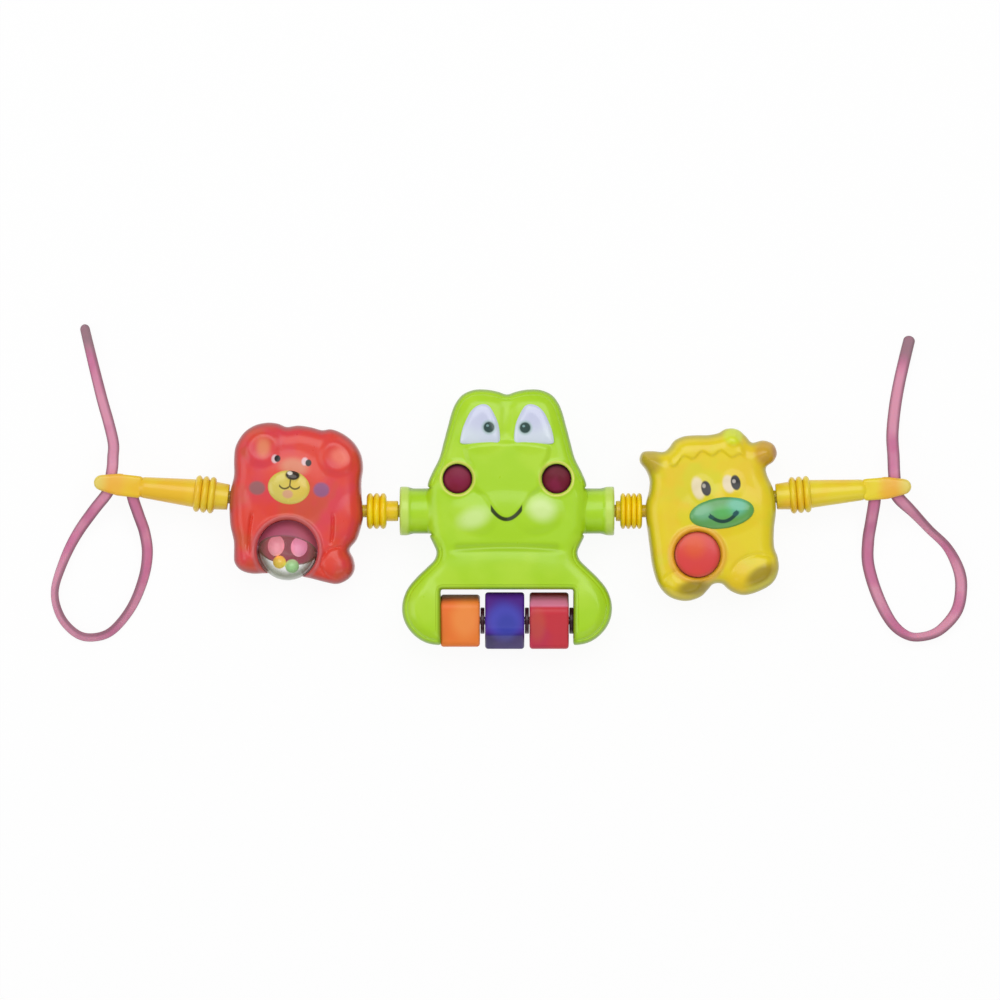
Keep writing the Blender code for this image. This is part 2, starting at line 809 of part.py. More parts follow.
def build_frog():
    frame = frame_at("frog_frame", (0.0, 0.0, 0.0))
    loop = frog_loop()
    reach = block_reach() + BLOCK_SLOT_GAP
    slot = block(
        "block_slot",
        frame,
        (-slot_width() / 2, -FROG_FOOT_DEPTH - OVERRUN, -OVERRUN),
        (slot_width() / 2, reach - axle_drop(), BODY_DEPTH + OVERRUN),
    )
    axle_length = slot_width() + 2 * AXLE_SEAT
    seat = bar(
        "axle_seat",
        frame,
        (-axle_length / 2, -axle_drop(), AXIS_HEIGHT),
        axle_length,
        AXLE_RADIUS + RUNNING_GAP,
        SMALL_SIDES,
    )
    holes = [slot, seat]
    legs = block(
        "frog_legs_island",
        frame,
        (-FROG_HALF_WIDTH - OVERRUN, -FROG_FOOT_DEPTH - OVERRUN, -OVERRUN),
        (FROG_HALF_WIDTH + OVERRUN, reach - axle_drop() + WALL, BODY_DEPTH + OVERRUN),
    )
    islands = [legs]
    for word, side in (("left", -1), ("right", 1)):
        holes += socket_cutters(f"frog_{word}_socket", frame, FROG_ARM_REACH, side)
        arm_half = FROG_ARM_RADIUS + SEAM_GAP
        arm_low, arm_high = sorted((side * (FROG_ARM_ROOT - SEAM_GAP), side * (FROG_ARM_REACH + OVERRUN)))
        islands.append(
            block(
                f"frog_{word}_island",
                frame,
                (arm_low, -arm_half, -OVERRUN),
                (arm_high, arm_half, BODY_DEPTH + OVERRUN),
            )
        )
        islands.append(
            pillar(
                f"frog_{word}_cheek_island",
                frame,
                (side * CHEEK_OFFSET_X, CHEEK_OFFSET_Y),
                CHEEK_RADIUS + RUNNING_GAP + WALL,
                AXIS_HEIGHT,
                BODY_DEPTH + OVERRUN,
            )
        )
    screws = []
    for number, (x, y) in enumerate(
        (side * x, y)
        for x, y in scaled(FROG_SCREW_SHARES, FROG_HALF_WIDTH, FROG_HEAD_HEIGHT, FROG_FOOT_DEPTH)
        for side in (-1, 1)
    ):
        screws.append((f"frog_screw_{number + 1}", (x, y)))
        islands.append(
            pillar(f"frog_boss_{number}", frame, (x, y), boss_radius(), -OVERRUN, BODY_DEPTH + OVERRUN)
        )
    edge = (FROG_EDGE_WIDTH, FROG_EDGE_RISE)
    front, rear = shell_pair("frog", frame, loop, edge, "lime", islands, [])
    for word, side in (("left", -1), ("right", 1)):
        fuse(front, arm(f"frog_{word}_arm_front", frame, side, True))
        fuse(rear, arm(f"frog_{word}_arm_rear", frame, side, False))
    right_jaw = scaled(FROG_MUZZLE_SHARES, FROG_HALF_WIDTH, FROG_HEAD_HEIGHT, FROG_HEAD_HEIGHT)
    jaw = spline_loop([*right_jaw, *[(-x, y) for x, y in reversed(right_jaw[1:-1])]], OUTLINE_STEP)
    jaw_levels = dome_levels(
        jaw, BODY_DEPTH - WALL / 2, BODY_DEPTH, BODY_DEPTH + FROG_MUZZLE_RISE, FROG_MUZZLE_RISE
    )
    fuse(front, add_mesh("frog_jaw", loft(jaw_levels), frame))
    crease_y = FROG_CREASE_SHARE * FROG_FOOT_DEPTH
    crease = bar(
        "frog_crease",
        frame,
        (-FROG_HALF_WIDTH, crease_y, BODY_DEPTH + FROG_CREASE_RADIUS - FROG_CREASE_DEPTH),
        2 * FROG_HALF_WIDTH,
        FROG_CREASE_RADIUS,
        SMALL_SIDES,
    )
    cut(front, crease, *holes)
    cut(rear, *holes)
    for name, centre in screws:
        cut(rear, *screw_hole_cutters(name, frame, centre))
        cut(front, screw_pilot_cutter(name, frame, centre))
        screw(name, frame, centre)
    build_eyes_and_cheeks(frame, front)
    build_blocks(frame, axle_length)
    return frame


def build_eyes_and_cheeks(frame, front):
    """White eyes in shallow pockets and plum cheeks sunk in round holes."""
    for word, side in (("left", -1), ("right", 1)):
        points = scaled(EYE_SHARES, side * FROG_HALF_WIDTH, FROG_HEAD_HEIGHT, FROG_FOOT_DEPTH)
        if side < 0:
            points.reverse()
        loop = spline_loop(points, OUTLINE_STEP / 2)
        floor = BODY_DEPTH - EYE_POCKET_DEPTH
        seat = inset(loop, -SEAM_GAP)
        cut(
            front,
            add_mesh(f"frog_{word}_eye_pocket", loft([(seat, floor), (seat, BODY_DEPTH + OVERRUN)]), frame),
        )
        top = floor + SEAM_GAP + EYE_THICKNESS
        rounding = EYE_THICKNESS / 4
        levels = [(loop, floor + SEAM_GAP), (loop, top - rounding), (inset(loop, rounding), top)]
        add_mesh(f"frog_{word}_eye", loft(levels), frame, "white")
        centre = (side * CHEEK_OFFSET_X, CHEEK_OFFSET_Y)
        floor = BODY_DEPTH - CHEEK_POCKET_DEPTH
        top = BODY_DEPTH + FROG_MUZZLE_RISE + OVERRUN
        cut(
            front,
            pillar(
                f"frog_{word}_cheek_pocket", frame, centre, CHEEK_RADIUS + RUNNING_GAP, floor, top, ROUND_SIDES
            ),
        )
        cheek = ellipse_loop(CHEEK_RADIUS, CHEEK_RADIUS, ROUND_SIDES, centre)
        crown = BODY_DEPTH - CHEEK_RECESS
        levels = dome_levels(cheek, floor + SEAM_GAP, crown - CHEEK_DOME, crown, CHEEK_RADIUS * 0.7)
        add_mesh(f"frog_{word}_cheek", loft(levels), frame, "plum")


def block_loop(shrink):
    """A square with round corners, drawn round the axle."""
    half = BLOCK_FLATS / 2 - BLOCK_CORNER
    radius = BLOCK_CORNER - shrink
    points = []
    for corner in range(4):
        centre = Vector((half, half)) if corner in (0, 3) else Vector((-half, half))
        if corner in (2, 3):
            centre.y = -centre.y
        for step in range(5):
            angle = math.pi / 2 * (corner + step / 4)
            points.append(centre + radius * Vector((math.cos(angle), math.sin(angle))))
    return points


def build_blocks(frame, axle_length):
    """The axle, three rounded blocks that turn on it and a spacer beside each."""
    centre_y = -axle_drop()
    end_gap = RUNNING_GAP
    bar(
        "block_axle",
        frame,
        (-axle_length / 2 + end_gap, centre_y, AXIS_HEIGHT),
        axle_length - 2 * end_gap,
        AXLE_RADIUS,
        SMALL_SIDES,
        "steel",
    )
    x = -slot_width() / 2
    names = ("orange", "purple", "red")
    colours = ("orange", "purple", "red_pink")
    spacers = ("left", "middle", "right")
    half = BLOCK_WIDTH / 2
    for number, turn in enumerate(BLOCK_TURNS):
        x += RUNNING_GAP + half
        rings = [
            (block_loop(BLOCK_CHAMFER), -half),
            (block_loop(0.0), -half + BLOCK_CHAMFER),
            (block_loop(0.0), half - BLOCK_CHAMFER),
            (block_loop(BLOCK_CHAMFER), half),
        ]
        data = loft(rings, lambda point, level: (level, point.x, point.y))
        centre = (x, centre_y, AXIS_HEIGHT)
        piece = add_mesh(f"block_{names[number]}", data, frame, colours[number], centre)
        piece.rotation_euler = (turn, 0.0, 0.0)
        bore = bar(
            f"block_bore_{number}",
            frame,
            (x - half - OVERRUN, centre_y, AXIS_HEIGHT),
            BLOCK_WIDTH + 2 * OVERRUN,
            AXLE_RADIUS + RUNNING_GAP,
            SMALL_SIDES,
        )
        cut(piece, bore)
        x += half + RUNNING_GAP
        spacer = bar(
            f"spacer_{spacers[number]}",
            frame,
            (x, centre_y, AXIS_HEIGHT),
            SPACER_WIDTH,
            SPACER_RADIUS,
            ROUND_SIDES,
            "dark_plum",
        )
        spacer_bore = bar(
            f"spacer_bore_{number}",
            frame,
            (x - OVERRUN, centre_y, AXIS_HEIGHT),
            SPACER_WIDTH + 2 * OVERRUN,
            AXLE_RADIUS + SEAM_GAP,
            SMALL_SIDES,
        )
        cut(spacer, spacer_bore)
        x += SPACER_WIDTH


def ball_profile(start_x, towards):
    """A ball end's half circle from its pole to its neck, or from the neck to the pole."""
    neck_angle = math.asin(NECK_RADIUS / BALL_RADIUS)
    angles = [(math.pi - neck_angle) * i / BALL_STEPS for i in range(BALL_STEPS + 1)]
    points = [(start_x - towards * BALL_RADIUS * math.cos(a), BALL_RADIUS * math.sin(a)) for a in angles]
    points[0] = (points[0][0], 0.0)
    return points if towards > 0 else points[::-1]


def rib_profile(start, length, count, radius):
    """Rounded ribs with grooves between them."""
    pitch = length / count
    points = []
    for i in range(count):
        left = start + i * pitch
        points += [
            (left + pitch * 0.06, RIB_GROOVE_RADIUS),
            (left + pitch * 0.32, radius),
            (left + pitch * 0.68, radius),
            (left + pitch * 0.94, RIB_GROOVE_RADIUS),
        ]
    return points


def tilt_gap():
    """Room that the last rib needs before the next face when the joint is bent to its limit."""
    limit = LINK_TILT_LIMIT
    needed = (BALL_INSET + RIB_RADIUS * math.sin(limit) + RUNNING_GAP) / math.cos(limit)
    return needed - BALL_INSET


def build_link(name, frame, reach, neck, ribs):
    """A link with a ball at each end; its frame is at the frog's ball, pointing outwards."""
    far = reach + 2 * BALL_INSET
    face = BALL_INSET + SWIVEL_GAP
    rib_start = face + neck
    rib_end = far - BALL_INSET - tilt_gap()
    profile = [
        *ball_profile(0.0, 1),
        (face, NECK_RADIUS),
        (face, LINK_NECK_RADIUS),
        (rib_start, LINK_NECK_RADIUS),
        *rib_profile(rib_start, rib_end - rib_start, ribs, RIB_RADIUS),
        (rib_end, NECK_RADIUS),
        *ball_profile(far, -1),
    ]
    return add_mesh(name, turned(profile, ROUND_SIDES), frame, "yellow")


def slot_centres():
    """Distances of the inner and outer strap slot from the animal's side."""
    half = STRAP_WIDTH / 2 + STRAP_SLOT_GAP
    outer = CLIP_REACH - CLIP_TIP_WALL - half
    return outer - 2 * half - CLIP_BRIDGE, outer


def stop_half_sizes():
    return (
        STRAP_WIDTH / 2 + STRAP_SLOT_GAP + STOP_MARGIN,
        STRAP_THICKNESS / 2 + STRAP_SLOT_GAP + STOP_MARGIN,
    )


def build_clip(name, frame, side):
    """An end clip, turned and ribbed, with a flat head that has two slots for the strap."""
    face = BALL_INSET + SWIVEL_GAP
    rib_start = face + CLIP_NECK_LENGTH
    rib_end = rib_start + CLIP_RIB_LENGTH
    head_start = BALL_INSET + CLIP_REACH - CLIP_HEAD_LENGTH
    profile = [
        *ball_profile(0.0, 1),
        (face, NECK_RADIUS),
        (face, CLIP_NECK_RADIUS),
        (rib_start, CLIP_BODY_RADIUS),
        *rib_profile(rib_start, CLIP_RIB_LENGTH, CLIP_RIBS, CLIP_RIB_RADIUS),
        (rib_end + SWIVEL_GAP, CLIP_BODY_RADIUS),
        (head_start, CLIP_BODY_END_RADIUS),
        (head_start + CLIP_HEAD_OVERLAP, CLIP_BODY_END_RADIUS * 0.7),
    ]
    clip = add_mesh(name, turned(profile, ROUND_SIDES), frame, "yellow")
    tip = BALL_INSET + CLIP_REACH
    wide = CLIP_HEAD_WIDTH / 2
    narrow = CLIP_TIP_WIDTH / 2
    shoulder = wide * 0.8
    outline = [
        Vector((head_start, -shoulder)),
        Vector((head_start + wide - shoulder, -wide)),
        Vector((head_start + CLIP_HEAD_LENGTH / 2, -wide)),
        Vector((tip - narrow, -narrow)),
    ]
    for i in range(1, 6):
        angle = math.pi * (i / 6 - 0.5)
        outline.append(Vector((tip - narrow + narrow * math.cos(angle), narrow * math.sin(angle))))
    outline += [Vector((point.x, -point.y)) for point in reversed(outline[:4])]
    half_height = CLIP_HEAD_HEIGHT / 2
    levels = [
        (inset(outline, CLIP_HEAD_EDGE), -half_height),
        (outline, CLIP_HEAD_EDGE - half_height),
        (outline, half_height - CLIP_HEAD_EDGE),
        (inset(outline, CLIP_HEAD_EDGE), half_height),
    ]
    head = add_mesh(f"{name}_head", loft(levels), frame)
    fuse(clip, head)
    half_slot = STRAP_WIDTH / 2 + STRAP_SLOT_GAP
    half_gap = STRAP_THICKNESS / 2 + STRAP_SLOT_GAP
    for number, distance in enumerate(slot_centres()):
        centre = BALL_INSET + distance
        slot = block(
            f"{name}_slot_{number}",
            frame,
            (centre - half_slot, -CLIP_HEAD_WIDTH, -half_gap),
            (centre + half_slot, CLIP_HEAD_WIDTH, half_gap),
        )
        cut(clip, slot)
    half_width, half_height = stop_half_sizes()
    centre = BALL_INSET + slot_centres()[0]
    low, high = sorted((side * (CLIP_HEAD_WIDTH / 2 - STOP_LENGTH - 2 * SEAM_GAP), side * CLIP_HEAD_WIDTH))
    pocket = block(
        f"{name}_stop_pocket",
        frame,
        (centre - half_width - SEAM_GAP, low, -half_height - SEAM_GAP),
        (centre + half_width + SEAM_GAP, high, half_height + SEAM_GAP),
    )
    return cut(clip, pocket)


def route_point(frame, distance, across):
    """A world point on a clip, at a distance from the animal's side and across the axis."""
    return frame.matrix_world @ Vector((BALL_INSET + distance, across, 0.0))


def strap_height(turn, share):
    """Height of the ribbon's middle: on the surface, rising to the clip as the share nears 1."""
    flat = (STRAP_WIDTH - STRAP_THICKNESS) / 2
    resting = STRAP_LIFT + STRAP_THICKNESS / 2 + flat * abs(math.sin(math.radians(turn)))
    ease = share * share * (3 - 2 * share)
    return resting + (AXIS_HEIGHT - resting) * ease


def strap_route(frame, loop, tail, side):
    """World points and turns of a strap, from its stop through both slots to its free end."""
    bpy.context.view_layer.update()
    inner, outer = slot_centres()
    edge = CLIP_HEAD_WIDTH / 2
    beyond = edge + STRAP_THICKNESS
    head_side = -side
    start = edge - STOP_LENGTH - 2 * SEAM_GAP
    path = [(route_point(frame, inner, head_side * -start), 0.0)]
    path.append((route_point(frame, inner, 0.0), 0.0))
    path.append((route_point(frame, inner, head_side * beyond), 0.0))
    first = path[-1][0]
    last = route_point(frame, outer, head_side * beyond)
    for x, y, turn in loop:
        place = Vector((x * MM, y * MM))
        near = min((place - first.xy).length, (place - last.xy).length)
        share = max(0.0, 1.0 - near / STRAP_FLOOR_RUN)
        path.append((Vector((*place, strap_height(turn, share))), turn))
    path.append((last, 0.0))
    path.append((route_point(frame, outer, 0.0), 0.0))
    exit_point = route_point(frame, outer, head_side * -beyond)
    path.append((exit_point, 0.0))
    for x, y, turn in tail:
        place = Vector((x * MM, y * MM))
        share = max(0.0, 1.0 - (place - exit_point.xy).length / STRAP_FLOOR_RUN)
        path.append((Vector((*place, strap_height(turn, share))), turn))
    return path


def smooth_route(path, count):
    """Evenly spaced points on a smooth curve through the route, each with its turn."""
    dense = []
    substeps = 16
    for i in range(len(path) - 1):
        rows = [path[max(0, min(len(path) - 1, i + k))] for k in (-1, 0, 1, 2)]
        points = [Vector((*point, turn)) for point, turn in rows]
        before, here, after, beyond = points
        for k in range(substeps):
            t = k / substeps
            dense.append(
                0.5
                * (
                    2 * here
                    + (after - before) * t
                    + (2 * before - 5 * here + 4 * after - beyond) * t**2
                    + (3 * here - 3 * after + beyond - before) * t**3
                )
            )
    dense.append(Vector((*path[-1][0], path[-1][1])))
    lengths = [(dense[i + 1].xyz - dense[i].xyz).length for i in range(len(dense) - 1)]
    total = sum(lengths)
    points = []
    travelled = 0.0
    place = 0
    for i in range(count):
        target = total * i / (count - 1)
        while place < len(lengths) - 1 and travelled + lengths[place] < target:
            travelled += lengths[place]
            place += 1
        share = min(1.0, (target - travelled) / lengths[place])
        point = dense[place].lerp(dense[place + 1], share)
        point.z = max(point.z, strap_height(point.w, 0.0))
        points.append(point)
    return points, total


def build_strap(name, frame, loop, tail, side):
    """A flat rubbery ribbon with round edges, tied through an end clip."""
    points, length = smooth_route(strap_route(frame, loop, tail, side), STRAP_POINTS)
    curve = bpy.data.curves.new(name, "CURVE")
    curve.dimensions = "3D"
    curve.twist_mode = "Z_UP"
    curve.bevel_depth = STRAP_THICKNESS / 2
    curve.extrude = (STRAP_WIDTH - STRAP_THICKNESS) / 2
    curve.bevel_resolution = 1
    curve.use_fill_caps = True
    spline = curve.splines.new("POLY")
    spline.points.add(len(points) - 1)
    for knot, point in zip(spline.points, points):
        knot.co = (*point.xyz, 1.0)
        knot.tilt = math.radians(90 - point.w)
    curve.materials.append(finish("strap_pink"))
    strap = bpy.data.objects.new(name, curve)
    bpy.context.scene.collection.objects.link(strap)
    print(f"{name} is {length / MM:.1f} mm long")
    build_stop(name, frame, side)
    return strap


def build_stop(name, frame, side):
    """The block that keeps a strap's end from slipping through the inner slot."""
    inner, _ = slot_centres()
    half_width, half_height = stop_half_sizes()
    near = CLIP_HEAD_WIDTH / 2 - STOP_LENGTH - SEAM_GAP
    loop = [Vector((x, z)) for x, z in ((-1, -1), (1, -1), (1, 1), (-1, 1))]
    loop = [Vector((p.x * half_width, p.y * half_height)) for p in loop]
    rings = [
        (loop, side * near),
        (loop, side * (near + STOP_LENGTH * 0.6)),
        (inset(loop, STOP_LENGTH * 0.3), side * (near + STOP_LENGTH)),
    ]
    data = loft(rings, lambda point, level: (point.x, level, point.y))
    add_mesh(f"{name}_stop", data, frame, "dark_plum", (BALL_INSET + inner, 0.0, 0.0))


def build_bear(link_end):
    """The bear, hung by its right socket from the left link's far ball."""
    offset = Matrix.Rotation(BEAR_TURN, 2) @ Vector((-(BEAR_HALF_WIDTH - BALL_INSET), 0.0))
    frame = frame_at("bear_frame", (link_end[0] + offset.x, link_end[1] + offset.y, 0.0), BEAR_TURN)
    size = (BEAR_HALF_WIDTH, BEAR_HEIGHT, BEAR_DEPTH)
    loop = spline_loop(scaled(BEAR_OUTLINE_SHARES, *size), OUTLINE_STEP)
    ball_x, ball_y = scaled([RATTLE_SHARES], *size)[0]
    opening_radius = RATTLE_RADIUS + RATTLE_GAP
    opening = pillar(
        "rattle_opening", frame, (ball_x, ball_y), opening_radius, -OVERRUN, BODY_DEPTH + OVERRUN, 2 * SMALL_SIDES
    )
    pin_reach = opening_radius + RATTLE_PIN_LENGTH
    pin_seat = bar(
        "rattle_pin_seat",
        frame,
        (ball_x - pin_reach, ball_y, AXIS_HEIGHT),
        2 * pin_reach,
        RATTLE_PIN_RADIUS + RUNNING_GAP,
        SMALL_SIDES,
    )
    ring = pillar(
        "rattle_ring_island",
        frame,
        (ball_x, ball_y),
        opening_radius + WALL,
        -OVERRUN,
        BODY_DEPTH + OVERRUN,
        ROUND_SIDES,
    )
    legs = block(
        "bear_legs_island",
        frame,
        (-BEAR_HALF_WIDTH - OVERRUN, -BEAR_DEPTH - OVERRUN, -OVERRUN),
        (BEAR_HALF_WIDTH + OVERRUN, ball_y + opening_radius / 2, BODY_DEPTH + OVERRUN),
    )
    islands = [ring, legs]
    holes = [opening, pin_seat]
    for word, side in (("left", -1), ("right", 1)):
        holes += socket_cutters(f"bear_{word}_socket", frame, BEAR_HALF_WIDTH, side)
        islands.append(socket_block(f"bear_{word}_island", frame, BEAR_HALF_WIDTH, side))
    centres = scaled(BEAR_SCREW_SHARES, *size)
    for number, centre in enumerate(centres):
        islands.append(
            pillar(f"bear_boss_{number}", frame, centre, boss_radius(), -OVERRUN, BODY_DEPTH + OVERRUN)
        )
    front, rear = shell_pair("bear", frame, loop, (BEAR_EDGE_WIDTH, BEAR_EDGE_RISE), "bear_red", islands, [])
    pads = [(centre, BEAR_EAR_RADIUS) for centre in scaled(BEAR_EAR_SHARES, *size)]
    pads += [(centre, BEAR_FOOT_RADIUS) for centre in scaled(BEAR_FOOT_SHARES, *size)]
    for number, (centre, radius) in enumerate(pads):
        fuse(front, pad(f"bear_pad_{number}", frame, centre, radius, BEAR_PAD_RISE))
    cut(front, *holes)
    cut(rear, *holes)
    for number, centre in enumerate(centres):
        name = f"bear_screw_{number + 1}"
        cut(rear, *screw_hole_cutters(name, frame, centre))
        cut(front, screw_pilot_cutter(name, frame, centre))
        screw(name, frame, centre)
    muzzle(
        "bear_muzzle",
        frame,
        front,
        scaled([BEAR_MUZZLE_SHARES], *size)[0],
        BEAR_MUZZLE_HALF_WIDTH,
        BEAR_MUZZLE_HALF_HEIGHT,
        "muzzle_yellow",
    )
    build_rattle(frame, (ball_x, ball_y, AXIS_HEIGHT))
    return frame


def half_ball(name, frame, towards, colour):
    """Half of the hollow rattle ball, its pole up or down before it is turned about X."""
    start = math.asin(SEAM_GAP / 2 / RATTLE_RADIUS)
    inner = RATTLE_RADIUS - RATTLE_WALL
    steps = BALL_STEPS
    outer_angles = [start + (math.pi / 2 - start) * i / steps for i in range(steps + 1)]
    profile = [(RATTLE_RADIUS * math.sin(a), RATTLE_RADIUS * math.cos(a)) for a in reversed(outer_angles)]
    inner_start = math.asin(SEAM_GAP / 2 / inner)
    inner_angles = [inner_start + (math.pi / 2 - inner_start) * i / steps for i in range(steps + 1)]
    profile += [(inner * math.sin(a), inner * math.cos(a)) for a in inner_angles]
    profile[0] = (profile[0][0], 0.0)
    profile[-1] = (profile[-1][0], 0.0)
    data = turned(profile, ROUND_SIDES)
    bmesh.ops.transform(data, matrix=Matrix.Rotation(-towards * math.pi / 2, 4, "Y"), verts=data.verts)
    return add_mesh(name, data, frame, colour)


def build_rattle(bear_frame, centre):
    """A ball of two halves that turns on side pins, with loose beads inside."""
    frame = frame_at("rattle_frame", centre, 0.0, bear_frame)
    mauve = half_ball("rattle_mauve_half", frame, -1, "mauve")
    clear = half_ball("rattle_clear_half", frame, 1, "clear")
    pin_start = RATTLE_RADIUS - RATTLE_WALL
    pin_length = RATTLE_WALL + RATTLE_GAP + RATTLE_PIN_LENGTH - RUNNING_GAP
    for word, side in (("left", -1), ("right", 1)):
        x = pin_start if side > 0 else -pin_start - pin_length
        fuse(mauve, bar(f"rattle_{word}_pin", frame, (x, 0.0, 0.0), pin_length, RATTLE_PIN_RADIUS, SMALL_SIDES))
        relief_x = x - SEAM_GAP
        cut(
            clear,
            bar(
                f"rattle_{word}_pin_relief",
                frame,
                (relief_x, 0.0, 0.0),
                pin_length + 2 * SEAM_GAP,
                RATTLE_PIN_RADIUS + SEAM_GAP,
                SMALL_SIDES,
            ),
        )
    for half in (mauve, clear):
        half.rotation_euler = (RATTLE_TURN, 0.0, 0.0)
    colours = {"bead_pink_left": "pink", "bead_pink_right": "pink", "bead_yellow": "muzzle_yellow", "bead_mint": "mint"}
    room = RATTLE_RADIUS - RATTLE_WALL
    for name, (radius, length) in BEAD_SIZES.items():
        across, along = BEAD_DIRECTION_SHARES[name]
        down = -math.sqrt(1.0 - across**2 - along**2)
        distance = room - length - SEAM_GAP
        place = distance * Vector((across, along, down))
        data = bmesh.new()
        bmesh.ops.create_uvsphere(data, u_segments=SMALL_SIDES, v_segments=SMALL_SIDES // 2, radius=radius)
        bmesh.ops.scale(data, vec=(1.0, length / radius, 1.0), verts=data.verts)
        add_mesh(name, data, frame, colours[name], place)


def build_cow(link_end):
    """The cow, hung by its left socket from the right link's far ball."""
    offset = Matrix.Rotation(COW_TURN, 2) @ Vector((COW_HALF_WIDTH - BALL_INSET, 0.0))
    frame = frame_at("cow_frame", (link_end[0] + offset.x, link_end[1] + offset.y, 0.0), COW_TURN)
    size = (COW_HALF_WIDTH, COW_HEIGHT, COW_DEPTH)
    loop = spline_loop(scaled(COW_OUTLINE_SHARES, *size), OUTLINE_STEP)
    button = scaled([BUTTON_SHARES], *size)[0]
    islands = []
    holes = []
    for word, side in (("left", -1), ("right", 1)):
        holes += socket_cutters(f"cow_{word}_socket", frame, COW_HALF_WIDTH, side)
        islands.append(socket_block(f"cow_{word}_island", frame, COW_HALF_WIDTH, side))
    centres = scaled(COW_SCREW_SHARES, *size)
    for number, centre in enumerate(centres):
        islands.append(pillar(f"cow_boss_{number}", frame, centre, boss_radius(), -OVERRUN, BODY_DEPTH + OVERRUN))
    islands.append(
        pillar("button_boss_island", frame, button, BUTTON_BOSS_RADIUS, -OVERRUN, rear_seam() + SEAM_GAP / 2)
    )
    front, rear = shell_pair("cow", frame, loop, (COW_EDGE_WIDTH, COW_EDGE_RISE), "cow_yellow", islands, [])
    for number, centre in enumerate(scaled(COW_FOOT_SHARES, *size)):
        fuse(front, pad(f"cow_pad_{number}", frame, centre, COW_FOOT_RADIUS, COW_PAD_RISE))
    hole = pillar(
        "button_hole",
        frame,
        button,
        BUTTON_RADIUS + RUNNING_GAP,
        AXIS_HEIGHT + WALL,
        BODY_DEPTH + OVERRUN,
        ROUND_SIDES + 4,
    )
    cut(front, hole, *holes)
    guide = pillar(
        "button_guide",
        frame,
        button,
        BUTTON_STEM_RADIUS + RUNNING_GAP,
        WALL,
        AXIS_HEIGHT + OVERRUN,
        SMALL_SIDES,
    )
    cut(rear, guide, *holes)
    for number, centre in enumerate(centres):
        name = f"cow_screw_{number + 1}"
        cut(rear, *screw_hole_cutters(name, frame, centre))
        cut(front, screw_pilot_cutter(name, frame, centre))
        screw(name, frame, centre)
    muzzle(
        "cow_muzzle",
        frame,
        front,
        scaled([COW_MUZZLE_SHARES], *size)[0],
        COW_MUZZLE_HALF_WIDTH,
        COW_MUZZLE_HALF_HEIGHT,
        "green",
    )
    build_button(frame, button)
    return frame


def build_button(frame, centre):
    """A domed push button with a flange behind the wall, a guide stem and a return spring."""
    flange_top = BODY_DEPTH - WALL - SEAM_GAP
    flange_low = flange_top - BUTTON_FLANGE_THICKNESS
    rim = BODY_DEPTH + BUTTON_PROUD
    stem_low = AXIS_HEIGHT - BUTTON_STEM_DEPTH
    profile = [
        (stem_low, 0.0),
        (stem_low, BUTTON_STEM_RADIUS),
        (flange_low, BUTTON_STEM_RADIUS),
        (flange_low, BUTTON_RADIUS + BUTTON_FLANGE),
        (flange_top, BUTTON_RADIUS + BUTTON_FLANGE),
        (flange_top, BUTTON_RADIUS),
        (rim, BUTTON_RADIUS),
        (rim + BUTTON_DOME * 0.55, BUTTON_RADIUS * 0.86),
        (rim + BUTTON_DOME * 0.9, BUTTON_RADIUS * 0.5),
        (rim + BUTTON_DOME, 0.0),
    ]
    data = turned(profile, ROUND_SIDES + 4)
    bmesh.ops.transform(data, matrix=Matrix.Rotation(-math.pi / 2, 4, "Y"), verts=data.verts)
    add_mesh("cow_belly_button", data, frame, "coral", (*centre, 0.0))
    wire = SPRING_WIRE_RADIUS
    low = rear_seam() + SEAM_GAP + wire
    high = flange_low - SEAM_GAP - wire
    turns = SPRING_COIL_COUNT * SPRING_STEP_COUNT
    curve = bpy.data.curves.new("cow_button_spring", "CURVE")
    curve.dimensions = "3D"
    curve.bevel_depth = wire
    curve.bevel_resolution = 1
    curve.use_fill_caps = True
    spline = curve.splines.new("POLY")
    spline.points.add(turns)
    for i, knot in enumerate(spline.points):
        angle = math.tau * i / SPRING_STEP_COUNT
        knot.co = (SPRING_RADIUS * math.cos(angle), SPRING_RADIUS * math.sin(angle), low + (high - low) * i / turns, 1.0)
    curve.materials.append(finish("steel"))
    spring = bpy.data.objects.new("cow_button_spring", curve)
    spring.parent = frame
    spring.location = (*centre, 0.0)
    bpy.context.scene.collection.objects.link(spring)


def main():
    clear_scene()
    build_frog()
    socket = FROG_ARM_REACH - BALL_INSET
    left_link = frame_at("left_link_frame", (-socket, 0.0, AXIS_HEIGHT), math.pi)
    build_link("left_link", left_link, LEFT_LINK_REACH, LEFT_LINK_NECK, LEFT_LINK_RIBS)
    right_link = frame_at("right_link_frame", (socket, 0.0, AXIS_HEIGHT))
    build_link("right_link", right_link, RIGHT_LINK_REACH, RIGHT_LINK_NECK, RIGHT_LINK_RIBS)
    bear = build_bear((-socket - LEFT_LINK_REACH - 2 * BALL_INSET, 0.0))
    cow = build_cow((socket + RIGHT_LINK_REACH + 2 * BALL_INSET, 0.0))
    left_clip = frame_at("left_clip_frame", (BALL_INSET - BEAR_HALF_WIDTH, 0.0, AXIS_HEIGHT), math.pi, bear)
    build_clip("left_end_clip", left_clip, -1)
    right_clip = frame_at(
        "right_clip_frame", (COW_HALF_WIDTH - BALL_INSET, 0.0, AXIS_HEIGHT), RIGHT_CLIP_TURN, cow
    )
    build_clip("right_end_clip", right_clip, 1)
    build_strap("left_strap", left_clip, LEFT_LOOP_ROUTE, LEFT_TAIL_ROUTE, -1)
    build_strap("right_strap", right_clip, RIGHT_LOOP_ROUTE, RIGHT_TAIL_ROUTE, 1)


RIGHT_CLIP_TURN = math.radians(-2.8)

if __name__ == "__main__":
    main()
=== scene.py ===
"""Crib mobile: a string toy of a bear, a frog and a cow between two end clips with soft straps."""

